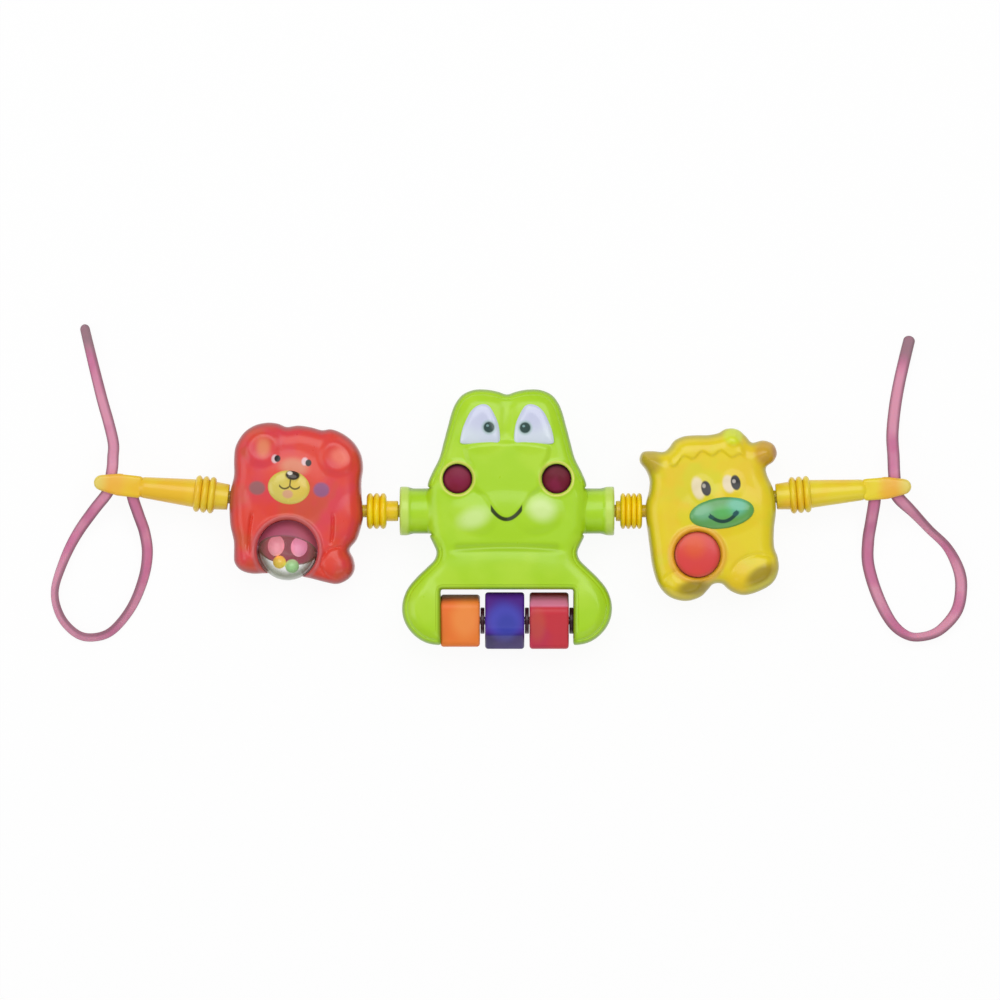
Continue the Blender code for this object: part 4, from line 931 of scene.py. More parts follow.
@dataclass(frozen=True)
class Plastic:
    """A glossy moulded plastic with soft changes of tone; rim is a painted shade towards the outline, and
    glow is painted light, an emission that lightens parts which the lamps leave too dim.
    """

    name: str
    colour: Colour
    patch: Colour
    rim: Colour | None = None
    place: Place = FROG
    prints_and_painted_light: tuple[PrintAndPaintedLight, ...] = ()
    roughness: float = 0.30
    coat: float = 0.14
    patch_scale: float = 45.0
    patch_share: float = 0.6
    edge_shade_depth: float = 3.2
    grain: float = 0.10
    gloss: float = 0.5
    cloud: Colour | None = None
    glow: float = 0.0

    def build(self) -> bpy.types.Material:
        """Make the material.

        Returns:
            The material.
        """
        graph = Graph(self.name)
        patches = graph.noise(self.patch_scale, 2.5).eased(0.38, 0.66) * self.patch_share
        tone = graph.mix(patches, linear(self.colour), linear(self.patch))
        if self.cloud is not None:
            clouds = graph.noise(self.patch_scale * 0.8 + 7.0, 2.0).eased(0.50, 0.68) * self.patch_share
            tone = graph.mix(clouds, tone, linear(self.cloud))
        # Painted shade: the colour turns towards the rim colour near the outline, where the rounded edge
        # turns from the light.
        if self.rim is not None:
            near = 1.0 - graph.stored("edge_depth").eased(0.15, self.edge_shade_depth)
            tone = graph.mix(near * 0.75, tone, linear(self.rim))
        if self.prints_and_painted_light:
            x, y, _ = graph.axes(self.place)
            for shape in self.prints_and_painted_light:
                tone = graph.mix(shape.mask(graph, x, y), tone, linear(shape.colour))
        handling = graph.noise(160.0, 3.0, 0.6)
        pores, swell = graph.noise(1400.0), graph.noise(120.0, 1.0)
        inputs = {
            "Base Color": tone,
            "Roughness": handling * 0.12 + (self.roughness - 0.06),
            "Normal": graph.relief(pores * 0.25 + swell, self.grain, 0.0004),
            "IOR": 1.48,
            "Specular IOR Level": self.gloss,
            "Coat Weight": self.coat,
            "Coat Roughness": 0.10,
        }
        # Painted light: an emission in the piece's own colour.
        if self.glow:
            inputs |= {"Emission Color": tone, "Emission Strength": self.glow}
        return graph.shaded(inputs)


@dataclass(frozen=True)
class ClearPlastic:
    """The see-through half of the rattle ball, with painted shade: it turns hazier and a deeper grey-green
    towards its outer edge as seen from above.
    """

    name: str = "rattle_clear"
    colour: Colour = (132, 146, 112)
    place: Place = RATTLE
    radius: float = 15.0
    alpha: float = 0.05
    rim_shade: float = 0.52

    def build(self) -> bpy.types.Material:
        """Make the material.

        Returns:
            The material.
        """
        graph = Graph(self.name)
        scuffs = graph.noise(300.0, 4.0, 0.65)
        x, y, _ = graph.axes(self.place)
        # Painted shade: the share of the grey-green colour rises towards the ball's outer edge as seen from
        # above.
        rim = (x * x + y * y).root().eased(self.radius * 0.60, self.radius) * self.rim_shade
        inputs = {
            "Base Color": linear(self.colour),
            "Roughness": scuffs * 0.10 + 0.04,
            "Alpha": scuffs.eased(0.45, 0.8) * 0.05 + rim + self.alpha,
            "IOR": 1.5,
            "Coat Weight": 0.3,
            "Coat Roughness": 0.04,
        }
        return graph.shaded(inputs)


@dataclass(frozen=True)
class Vinyl:
    """The soft rubbery skin of the straps, with painted shade along its edges, and greyer towards the far
    end.
    """

    name: str = "strap_vinyl"
    colour: Colour = (220, 148, 174)
    shade: Colour = (204, 112, 154)
    edge: Colour = (140, 96, 112)
    greyed: Colour = (142, 114, 122)

    def build(self) -> bpy.types.Material:
        """Make the material.

        Returns:
            The material.
        """
        graph = Graph(self.name)
        tone = graph.mix(graph.noise(48.0).eased(0.42, 0.66) * 0.8, linear(self.colour), linear(self.shade))
        dust = graph.noise(220.0, 4.0, 0.6)
        uneven = graph.noise(70.0) * 0.5 + 0.75
        # Painted shade: the colour deepens towards the ribbon's edges, where its rounded section turns from
        # the light.
        tone = graph.mix(graph.stored("across").eased(0.35, 0.95) * uneven * 0.85, tone, linear(self.edge))
        # Greyer towards the far end of the strap.
        tone = graph.mix(graph.stored("along").eased(0.935, 0.975) * 0.8, tone, linear(self.greyed))
        inputs = {
            "Base Color": tone,
            "Roughness": dust * 0.16 + 0.40,
            "Normal": graph.relief(graph.noise(900.0), 0.18, 0.0003),
            "IOR": 1.45,
            "Specular IOR Level": 0.4,
            "Subsurface Weight": 0.08,
            "Subsurface Scale": 0.002,
        }
        return graph.shaded(inputs)


@dataclass(frozen=True)
class Steel:
    """Plated steel of the screws, the axle and the spring."""

    name: str = "plated_steel"
    colour: Colour = (196, 198, 202)
    greyed: Colour = (150, 150, 150)

    def build(self) -> bpy.types.Material:
        """Make the material.

        Returns:
            The material.
        """
        graph = Graph(self.name)
        wear = graph.noise(500.0, 4.0, 0.6)
        inputs = {
            "Base Color": graph.mix(wear.eased(0.4, 0.75) * 0.4, linear(self.colour), linear(self.greyed)),
            "Roughness": wear * 0.2 + 0.22,
            "Metallic": 1.0,
            "Normal": graph.relief(wear, 0.15, 0.0001),
        }
        return graph.shaded(inputs)


def dress(piece: Piece, finish: Any) -> Piece:
    """Give a piece its finish.

    Args:
        piece: The piece.
        finish: The finish, or a finished material.

    Returns:
        The same piece.
    """
    material = finish if isinstance(finish, bpy.types.Material) else finish.build()
    piece.data.materials.clear()
    piece.data.materials.append(material)
    return piece


def place_on(piece: Piece, body: str, *nodes: str) -> None:
    """Let a piece ride on a body and stand for its nodes.

    Args:
        piece: The piece.
        body: The body that carries it.
        nodes: The nodes that it replaces.
    """
    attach(piece, body)
    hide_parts(*nodes)
    LOG.info("%s rides on %s with %d faces", piece.name, body, len(piece.data.polygons))


def dress_solid(node: str, finish: bpy.types.Material) -> None:
    """Give a kept solid its finish through its material slots."""
    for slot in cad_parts[node].material_slots:
        slot.material = finish
    LOG.info("%s keeps its solid", node)


# Repeated shapes by rule


class Recipe:
    """A Geometry Nodes tree with named inputs."""

    def __init__(self, name: str) -> None:
        """Start a tree.

        Args:
            name: Name of the tree.
        """
        self.tree = bpy.data.node_groups.new(name, "GeometryNodeTree")
        for way in ("INPUT", "OUTPUT"):
            self.tree.interface.new_socket("Geometry", in_out=way, socket_type="NodeSocketGeometry")
        self.inside = self.tree.nodes.new("NodeGroupInput")
        self.outside = self.tree.nodes.new("NodeGroupOutput")

    def size(self, name: str, kind: str = "NodeSocketFloat") -> bpy.types.NodeSocket:
        """Add a named input and give its socket inside the tree."""
        self.tree.interface.new_socket(name, in_out="INPUT", socket_type=kind)
        return self.inside.outputs[name]

    def node(
        self, kind: str, inputs: dict[Any, Any], output: int | str = 0, **settings: Any
    ) -> bpy.types.NodeSocket:
        """Add a node and take one of its outputs.

        Args:
            kind: The node's type.
            inputs: Values or sockets for its inputs.
            output: Number or name of the output.
            settings: The node's properties.

        Returns:
            The output.
        """
        return add_node(self.tree, kind, settings, inputs).outputs[output]

    def math(self, operation: str, *values: Any) -> bpy.types.NodeSocket:
        """Calculate with numbers or sockets."""
        return self.node("ShaderNodeMath", dict(enumerate(values)), operation=operation)

    def finish(self, geometry: bpy.types.NodeSocket) -> None:
        """End the tree in real faces with a material.

        Args:
            geometry: The geometry to hand out.
        """
        material = self.size("Material", "NodeSocketMaterial")
        real = self.node("GeometryNodeRealizeInstances", {0: geometry})
        dressed = self.node("GeometryNodeSetMaterial", {"Geometry": real, "Material": material})
        self.tree.links.new(dressed, self.outside.inputs[0])

    def make(self, name: str, values: dict[str, Any], points: Sequence[Sequence[float]] = ()) -> Piece:
        """Run the tree once.

        Args:
            name: Name of the piece.
            values: Values of the named inputs.
            points: Points that the tree starts from, in metres.

        Returns:
            The piece as a plain mesh.
        """
        mesh = bpy.data.meshes.new(name)
        mesh.from_pydata([tuple(point) for point in points], [], [])
        piece = bpy.data.objects.new(name, mesh)
        bpy.context.scene.collection.objects.link(piece)
        modifier = piece.modifiers.new("recipe", "NODES")
        modifier.node_group = self.tree
        for item in self.tree.interface.items_tree:
            if item.in_out == "INPUT" and item.name in values:
                modifier[item.identifier] = values[item.name]
        return settle(piece)


def rib_recipe() -> Recipe:
    """Make the rule for rounded ribs along a turned part.

    Returns:
        The rule.
    """
    rule = Recipe("rounded_ribs")
    length, ribs = rule.size("Length"), rule.size("Ribs", "NodeSocketInt")
    groove, crest = rule.size("Groove Radius"), rule.size("Crest Radius")
    end = rule.node("ShaderNodeCombineXYZ", {0: length})
    line = rule.node("GeometryNodeCurvePrimitiveLine", {"End": end})
    count = rule.math("ADD", rule.math("MULTIPLY", ribs, 14.0), 1.0)
    fine = rule.node("GeometryNodeResampleCurve", {"Curve": line, "Count": count})
    share = rule.node("GeometryNodeSplineParameter", {}, "Factor")
    phase = rule.math("MULTIPLY", rule.math("MULTIPLY", ribs, share), math.pi)
    wave = rule.math("ABSOLUTE", rule.math("SINE", phase))
    swell = rule.math("MULTIPLY", rule.math("POWER", wave, 0.55), rule.math("SUBTRACT", crest, groove))
    radius = rule.math("ADD", swell, groove)
    shaped = rule.node("GeometryNodeSetCurveRadius", {"Curve": fine, "Radius": radius})
    circle = rule.node("GeometryNodeCurvePrimitiveCircle", {"Resolution": ROUND_SIDES, "Radius": 1.0})
    inputs = {"Curve": shaped, "Profile Curve": circle, "Fill Caps": True}
    tube = add_node(rule.tree, "GeometryNodeCurveToMesh", {}, inputs)
    if "Scale" in tube.inputs:
        rule.tree.links.new(radius, tube.inputs["Scale"])
    rule.finish(tube.outputs[0])
    return rule


def screw_recipe() -> Recipe:
    """Make the rule that sets a cross-recessed screw head on each point.

    Returns:
        The rule.
    """
    rule = Recipe("screw_heads")
    radius, height = rule.size("Head Radius"), rule.size("Head Height")
    width, depth = rule.size("Recess Width"), rule.size("Recess Depth")
    seed = rule.size("Seed", "NodeSocketInt")
    lower = rule.math("MULTIPLY", radius, 0.78)
    cone = {"Vertices": 32, "Side Segments": 1, "Radius Top": radius, "Radius Bottom": lower, "Depth": height}
    head = rule.node("GeometryNodeMeshCone", cone, "Mesh")
    long, deep = rule.math("MULTIPLY", radius, 1.15), rule.math("MULTIPLY", depth, 2.0)
    for across, along in ((long, width), (width, long)):
        shape = rule.node("ShaderNodeCombineXYZ", {0: across, 1: along, 2: deep})
        bar = rule.node("GeometryNodeMeshCube", {"Size": shape}, "Mesh")
        bodies = {"Mesh 1": head, "Mesh 2": bar}
        head = rule.node("GeometryNodeMeshBoolean", bodies, "Mesh", operation="DIFFERENCE")
    turn = rule.node("FunctionNodeRandomValue", {"Seed": seed, 3: math.tau}, 1, data_type="FLOAT")
    spin = rule.node("ShaderNodeCombineXYZ", {2: turn})
    inputs = {"Points": rule.inside.outputs["Geometry"], "Instance": head, "Rotation": spin}
    rule.finish(rule.node("GeometryNodeInstanceOnPoints", inputs))
    return rule


# Sub-assemblies


@dataclass
class Studio:
    """A pale floor, soft lamps and the camera straight above."""

    centre: Pair = (-0.0035, 0.0055)
    camera_height: float = 4.0
    focal: float = 286.92
    sensor: float = 36.0
    view_end: float = 20.0
    floor_half: float = 4000.0
    floor_level: float = -0.05
    floor_glow: float = 0.93
    lamps: tuple[tuple[str, Triple, Pair, float], ...] = (
        ("overhead_lamp", (0.1, 0.55, 1.15), (1.5, 0.9), 8.8),
        ("side_lamp", (-1.1, -0.1, 0.85), (0.9, 0.9), 3.4),
        ("front_lamp", (0.5, -1.1, 0.9), (1.1, 0.8), 2.0),
    )

    def build(self) -> None:
        """Set the camera, the floor, the lamps and the world."""
        scene = bpy.context.scene
        scene.view_settings.view_transform = "Standard"
        camera = bpy.data.cameras.new("camera")
        camera.sensor_width, camera.lens, camera.clip_end = self.sensor, self.focal, self.view_end
        eye = bpy.data.objects.new("camera", camera)
        eye.location = (*self.centre, self.camera_height)
        scene.collection.objects.link(eye)
        scene.camera = eye
        self._floor()
        for lamp in self.lamps:
            self._lamp(*lamp)
        self._world()

    def _floor(self) -> None:
        """Lay a white floor that keeps a faint shadow."""
        half, low = self.floor_half, self.floor_level
        points = np.array(((-half, -half, low), (half, -half, low), (half, half, low), (-half, half, low)))
        floor = new_piece("floor", points, [(0, 1, 2, 3)], FROG)
        graph = Graph("white_floor")
        rays = graph.node("ShaderNodeLightPath")
        seen = Wire(graph, rays.outputs["Is Camera Ray"]) + Wire(graph, rays.outputs["Is Glossy Ray"])
        seen = seen + Wire(graph, rays.outputs["Is Transmission Ray"])
        matt = graph.wire("ShaderNodeBsdfDiffuse", None, {"Color": (0.96, 0.96, 0.96, 1.0)})
        glow = graph.wire("ShaderNodeEmission", None, {"Color": (1.0, 1.0, 1.0, 1.0), "Strength": 1.0})
        inputs = {0: seen * self.floor_glow, 1: matt, 2: glow}
        dress(floor, graph.close(graph.wire("ShaderNodeMixShader", None, inputs)))

    def _lamp(self, name: str, spot: Triple, size: Pair, power: float) -> None:
        """Hang a soft lamp that faces the toy.

        Args:
            name: Name of the lamp.
            spot: Where it hangs.
            size: Width and height.
            power: Light output in watts.
        """
        lamp = bpy.data.lights.new(name, "AREA")
        lamp.shape, lamp.size, lamp.size_y, lamp.energy = "RECTANGLE", size[0], size[1], power
        hung = bpy.data.objects.new(name, lamp)
        hung.location = spot
        hung.rotation_euler = (-Vector(spot)).to_track_quat("-Z", "Y").to_euler()
        bpy.context.scene.collection.objects.link(hung)

    def _world(self) -> None:
        """Light the toy from all round and show white behind it."""
        world = bpy.data.worlds.new("studio")
        bpy.context.scene.world = world
        world.use_nodes = True
        tree = world.node_tree
        tree.nodes.clear()
        rays = add_node(tree, "ShaderNodeLightPath", {}, {}).outputs
        sides = {0: rays["Is Camera Ray"], 1: rays["Is Transmission Ray"]}
        shown = add_node(tree, "ShaderNodeMath", {"operation": "MAXIMUM"}, sides)
        around = add_node(tree, "ShaderNodeTexCoord", {}, {}).outputs["Generated"]
        height = add_node(tree, "ShaderNodeSeparateXYZ", {}, {0: around}).outputs[2]
        shares = {"Value": height, "From Min": -0.2, "From Max": 1.0, "To Min": 0.30, "To Max": 0.62}
        sky = add_node(tree, "ShaderNodeMapRange", {}, shares)
        levels = {0: shown.outputs[0], 2: sky.outputs[0], 3: 1.0}
        level = add_node(tree, "ShaderNodeMix", {"data_type": "FLOAT"}, levels)
        light = add_node(tree, "ShaderNodeBackground", {}, {"Strength": level.outputs[0]})
        add_node(tree, "ShaderNodeOutputWorld", {}, {0: light.outputs[0]})


@dataclass
class Strap:
    """A flat soft ribbon looped through an end clip."""

    name: str
    body: str
    node: str
    length: float
    route: tuple[tuple[float, float, float, float], ...]
    width: float = 0.0058
    thickness: float = 0.0024
    lift: float = 0.0001
    count: int = 300
    sides: int = 28
    tip: float = 0.0026
    edge_fullness: float = 0.62
    blunt_end: float = 0.02

    def _points(self) -> Array:
        """Run evenly spaced points along the route, never below the surface.

        Returns:
            Points with their turns.
        """
        dense = flowing(self.route, closed=False, pieces=16)
        way = travelled(dense[:, :3])
        last = way[-1] - self.tip
        cap = last + self.tip * np.sin(np.linspace(0.0, math.pi / 2, 12)[1:])
        points = along_path(np.concatenate((np.linspace(0.0, last, self.count), cap)), way, dense)
        half = self.thickness / 2
        resting = self.lift + half + (self.width / 2 - half) * np.abs(np.sin(np.radians(points[:, 3])))
        points[:, 2] = np.maximum(points[:, 2], resting)
        return points

    def _section(self) -> Array:
        """Draw the cross-section, a flat ribbon with well rounded edges.

        Returns:
            Shares across and through the ribbon.
        """
        angles = np.linspace(0.0, math.tau, self.sides, endpoint=False)
        across = np.sign(np.cos(angles)) * np.abs(np.cos(angles)) ** self.edge_fullness
        return np.stack((across, np.sin(angles)), axis=1)

    def build(self, finish: bpy.types.Material) -> None:
        """Args:
            finish: Its material.
        """
        points = self._points()
        centres, turns = points[:, :3], np.radians(points[:, 3])[:, None]
        ahead = unit(np.gradient(centres, axis=0))
        side = unit(np.cross(ahead, (0.0, 0.0, 1.0)))
        broad = side * np.cos(turns) + np.cross(side, ahead) * np.sin(turns)
        thin = np.cross(broad, ahead)
        section = self._section()
        way = travelled(centres)
        left = 1.0 - np.minimum((way[-1] - way) / self.tip, 1.0)
        rounded = np.sqrt(np.clip(1.0 - left**2, self.blunt_end, 1.0))[:, None, None]
        spread = section[None, :, 0, None] * broad[:, None, :] * self.width / 2
        spread = spread + section[None, :, 1, None] * thin[:, None, :] * self.thickness / 2
        shape = (centres[:, None, :] + spread * rounded).reshape(-1, 3)
        strap = new_piece(self.name, shape / MM, tube_faces(len(points), self.sides), FROG)
        store(strap, "across", np.tile(np.abs(section[:, 0]), len(points)))
        store(strap, "along", np.repeat(way / way[-1], self.sides))
        place_on(dress(smooth(strap, 50), finish), self.body, self.node)
        way = [tuple(float(value) for value in point) for point in centres]


LEFT_ROUTE = (
    (-0.1876, 0.0151, 0.0155, 0), (-0.1877, 0.0125, 0.0155, 0), (-0.1871, 0.0068, 0.0155, 0),
    (-0.1844, -0.0020, 0.0101, 10), (-0.1816, -0.0110, 0.0045, 16), (-0.1804, -0.0215, 0.0019, 22),
    (-0.1824, -0.0340, 0.0021, 34), (-0.1884, -0.0484, 0.0024, 44), (-0.1980, -0.0600, 0.0026, 50),
    (-0.2075, -0.0634, 0.0027, 52), (-0.2160, -0.0615, 0.0026, 50), (-0.2238, -0.0530, 0.0026, 50),
    (-0.2268, -0.0405, 0.0027, 54), (-0.2226, -0.0258, 0.0025, 42), (-0.2158, -0.0118, 0.0019, 24),
    (-0.2070, 0.0002, 0.0104, 8), (-0.1997, 0.0092, 0.0155, 0), (-0.1986, 0.0137, 0.0155, 0),
    (-0.1973, 0.0217, 0.0155, 0), (-0.1971, 0.0270, 0.0134, 4), (-0.1972, 0.0340, 0.0072, 8),
    (-0.2000, 0.0450, 0.0016, 14), (-0.2031, 0.0560, 0.0017, 18), (-0.2066, 0.0700, 0.0019, 26),
    (-0.2101, 0.0845, 0.0021, 34), (-0.2122, 0.0936, 0.0022, 38),
)
RIGHT_ROUTE = (
    (0.1832, 0.0136, 0.0155, 0), (0.1834, 0.0110, 0.0155, 0), (0.1838, 0.0056, 0.0155, 0),
    (0.1824, -0.0050, 0.0100, 8), (0.1811, -0.0150, 0.0038, 8), (0.1813, -0.0270, 0.0016, 8),
    (0.1859, -0.0425, 0.0019, 12), (0.1930, -0.0560, 0.0020, 30), (0.2008, -0.0624, 0.0021, 50),
    (0.2088, -0.0630, 0.0021, 52), (0.2174, -0.0596, 0.0021, 42), (0.2254, -0.0504, 0.0020, 22),
    (0.2278, -0.0395, 0.0019, 14), (0.2266, -0.0295, 0.0020, 26), (0.2208, -0.0182, 0.0021, 50),
    (0.2118, -0.0093, 0.0034, 54), (0.2036, -0.0010, 0.0096, 40), (0.1954, 0.0070, 0.0153, 0),
    (0.1942, 0.0119, 0.0155, 0), (0.1935, 0.0198, 0.0155, 0), (0.1934, 0.0275, 0.0116, 4),
    (0.1933, 0.0380, 0.0026, 8), (0.1945, 0.0510, 0.0016, 10), (0.1965, 0.0630, 0.0018, 14),
    (0.1994, 0.0760, 0.0020, 18), (0.2023, 0.0878, 0.0022, 24),
)


@dataclass(frozen=True)
class Mound:
    """A smooth rise of a face, with its half width and half height and its turn in degrees."""

    rise: float
    centre: Pair
    radii: Pair
    turn: float = 0.0


def raised(level: Array, within: Array | float, places: Array, mounds: Sequence[Mound]) -> Array:
    """Raise a face by mounds.

    Args:
        level: Heights of the face.
        within: Shares from 0 at the edge to 1 inside.
        places: Points of the face.
        mounds: The mounds.

    Returns:
        Raised heights.
    """
    for mound in mounds:
        level = level + within * mound.rise * bump(places, mound.centre, mound.radii, mound.turn)
    return level


def share_points(shares: Sequence[Pair], half_width: float, height: float, depth: float) -> list[Pair]:
    """Turn shares of a half width, and of the height above and depth below the axis, into points."""
    return [(x * half_width, y * (height if y > 0 else depth)) for x, y in shares]


def swapped(points: Array, gone: Array, instead: Array) -> Array:
    """Replace one run of a closed path.

    Args:
        points: The path.
        gone: Truth values of the points that go.
        instead: Path that takes their place.

    Returns:
        The new path.
    """
    first = next(i for i in range(len(points)) if not gone[i] and gone[i - 1])
    rolled, dropped = np.roll(points, -first, axis=0), np.roll(gone, -first)
    return np.vstack((rolled[~dropped], instead))


class Animal:
    """What the three animals share: two shells, domed pieces on the face and screws in the back."""

    name: str
    place: Place
    screw_spots: tuple[Pair, ...]
    front_height: Height
    rear_height: Height

    def shells(
        self,
        edges: tuple[Outline, Outline],
        steps: Pair,
        details: Sequence[Array],
        cuts: tuple[Sequence[Piece], Sequence[Piece]],
        rim: Outline,
        reach: float,
        finishes: tuple[Plastic, Plastic],
    ) -> None:
        """Mould the front and the rear shell, cut them out and dress them.

        Args:
            edges: Outlines of the front and the rear.
            steps: Distances between the points of their faces.
            details: Extra points on the front.
            cuts: Bodies that are cut out of each, besides its sockets and wells.
            rim: Outline that the finishes' painted edge shade measures from.
            reach: Distance of the animal's sides from its middle.
            finishes: Finishes of the front and the rear.
        """
        wells = [cylinder("well", self.place, spot, WELL_RADIUS, -1.0, WELL_TOP) for spot in self.screw_spots]
        moulds = (
            Mould(edges[0], self.front_height, FRONT_SEAM, True, steps[0], tuple(details)),
            Mould(edges[1], self.rear_height, REAR_SEAM, False, steps[1], (), BACK_RINGS),
        )
        cutters = (cuts[0], [*cuts[1], *wells])
        for word, mould, own, finish in zip(("front", "rear"), moulds, cutters, finishes):
            shell = mould.build(f"{self.name}_{word}", self.place)
            sockets = [socket_cutter("socket", self.place, side, reach) for side in (-1, 1)]
            smooth(combine(shell, [*sockets, *own]), 34)
            mark_depth(shell, rim, self.place)
            place_on(dress(shell, finish), self.name, f"{self.name}_{word}_shell")

    def dome(
        self,
        name: str,
        node: str,
        outline: Outline,
        levels: Triple,
        width: float,
        step: float,
        finish: Plastic,
        mounds: Sequence[Mound] = (),
    ) -> None:
        """Set a domed piece on the face.

        Args:
            name: Name of the piece.
            node: The node that it replaces.
            outline: Its outline.
            levels: Heights of its foot, its edge and its crown.
            width: Distance over which it rounds over.
            step: Distance between the points of its face.
            finish: Its finish.
            mounds: Mounds on it.
        """

        def height(places: Array, depth: Array) -> Array:
            """Round the piece over and raise its mounds."""
            return raised(pillow(depth, levels[1], levels[2], width, 2.0), 1.0, places, mounds)

        piece = Mould(outline, height, levels[0], step=step, rings=DOME_RINGS).build(name, self.place)
        place_on(dress(smooth(piece, 50), finish), self.name, node)

    def screws(self, rule: Recipe, steel: bpy.types.Material, seed: int) -> None:
        """Set the screw heads in their wells.

        Args:
            rule: The rule of the heads.
            steel: Their material.
            seed: Start of their turns.
        """
        values = {
            "Head Radius": 2.6 * MM,
            "Head Height": 1.4 * MM,
            "Recess Width": 0.62 * MM,
            "Recess Depth": 0.8 * MM,
            "Seed": seed,
            "Material": steel,
        }
        points = self.place.to_world(np.array([(x, y, SCREW_LEVEL) for x, y in self.screw_spots]))
        heads = rule.make(f"{self.name}_screw_heads", values, points)
        nodes = [f"{self.name}_screw_{number + 1}" for number in range(len(self.screw_spots))]
        place_on(heads, self.name, *nodes)


FROG_HALF = (
    (0.0, 0.960), (0.086, 0.983), (0.191, 1.0), (0.315, 0.998), (0.421, 0.960), (0.486, 0.894),
    (0.526, 0.817), (0.566, 0.693), (0.604, 0.569), (0.646, 0.437), (0.711, 0.322), (0.757, 0.223),
    (0.771, 0.099), (0.757, -0.060), (0.744, -0.172), (0.700, -0.251), (0.673, -0.306), (0.694, -0.364),
    (0.769, -0.424), (0.864, -0.496), (0.956, -0.588), (1.0, -0.699), (0.985, -0.809), (0.910, -0.907),
    (0.790, -0.976), (0.641, -1.0), (0.382, -1.0), (0.0, -1.0),
)
FROG_EYE = (
    (0.075, 0.565), (0.165, 0.555), (0.300, 0.553), (0.430, 0.553), (0.446, 0.590), (0.415, 0.700),
    (0.355, 0.815), (0.270, 0.875), (0.175, 0.870), (0.105, 0.775), (0.072, 0.670),
)
FROG_SNOUT = (
    (0.0, -5.4), (4.6, -3.6), (8.4, 1.0), (12.6, 6.6), (17.6, 11.6),
    (18.4, 20.0), (21.5, 27.0), (21.0, 33.0), (10.0, 35.2), (0.0, 35.6),
)
BEAR_OUTLINE = (
    (1.0, -0.03), (0.945, 0.20), (0.915, 0.39), (0.917, 0.56), (0.866, 0.72), (0.746, 0.86), (0.567, 0.96),
    (0.388, 1.0), (0.254, 0.975), (0.090, 0.995), (-0.104, 1.0), (-0.275, 0.965), (-0.418, 0.995),
    (-0.582, 0.99), (-0.761, 0.935), (-0.910, 0.82), (-1.0, 0.645), (-1.0, 0.47), (-0.973, 0.28),
    (-1.0, 0.08), (-0.985, -0.16), (-0.943, -0.38), (-0.866, -0.58), (-0.842, -0.76), (-0.818, -0.87),
    (-0.716, -0.96), (-0.540, -0.99), (-0.30, -0.96), (0.0, -0.95), (0.30, -0.96), (0.576, -0.995),
    (0.755, -0.995), (0.907, -0.90), (0.964, -0.77), (0.925, -0.635), (0.854, -0.52), (0.943, -0.38),
    (0.985, -0.21),
)
COW_OUTLINE = (
    (1.0, -0.02), (0.98, 0.14), (0.925, 0.30), (0.925, 0.42), (1.05, 0.49), (1.115, 0.60), (1.075, 0.73),
    (0.93, 0.80), (0.755, 0.79), (0.675, 0.89), (0.56, 1.0), (0.40, 1.03), (0.27, 0.985), (0.10, 0.975),
    (-0.09, 0.995), (-0.27, 1.0), (-0.42, 0.955), (-0.52, 0.86), (-0.62, 0.82), (-0.78, 0.85), (-0.93, 0.85),
    (-0.985, 0.73), (-0.91, 0.60), (-0.87, 0.46), (-0.90, 0.30), (-0.975, 0.12), (-1.0, -0.05), (-1.0, -0.20),
    (-1.0, -0.36), (-0.995, -0.58), (-0.94, -0.78), (-0.80, -0.92), (-0.57, -0.985), (-0.345, -0.965),
    (-0.21, -0.90), (-0.13, -0.85), (-0.05, -0.84), (0.04, -0.86), (0.145, -0.94), (0.32, -1.0),
    (0.55, -0.985), (0.79, -0.915), (0.91, -0.79), (0.925, -0.65), (0.89, -0.53), (0.925, -0.34),
    (0.985, -0.17),
)


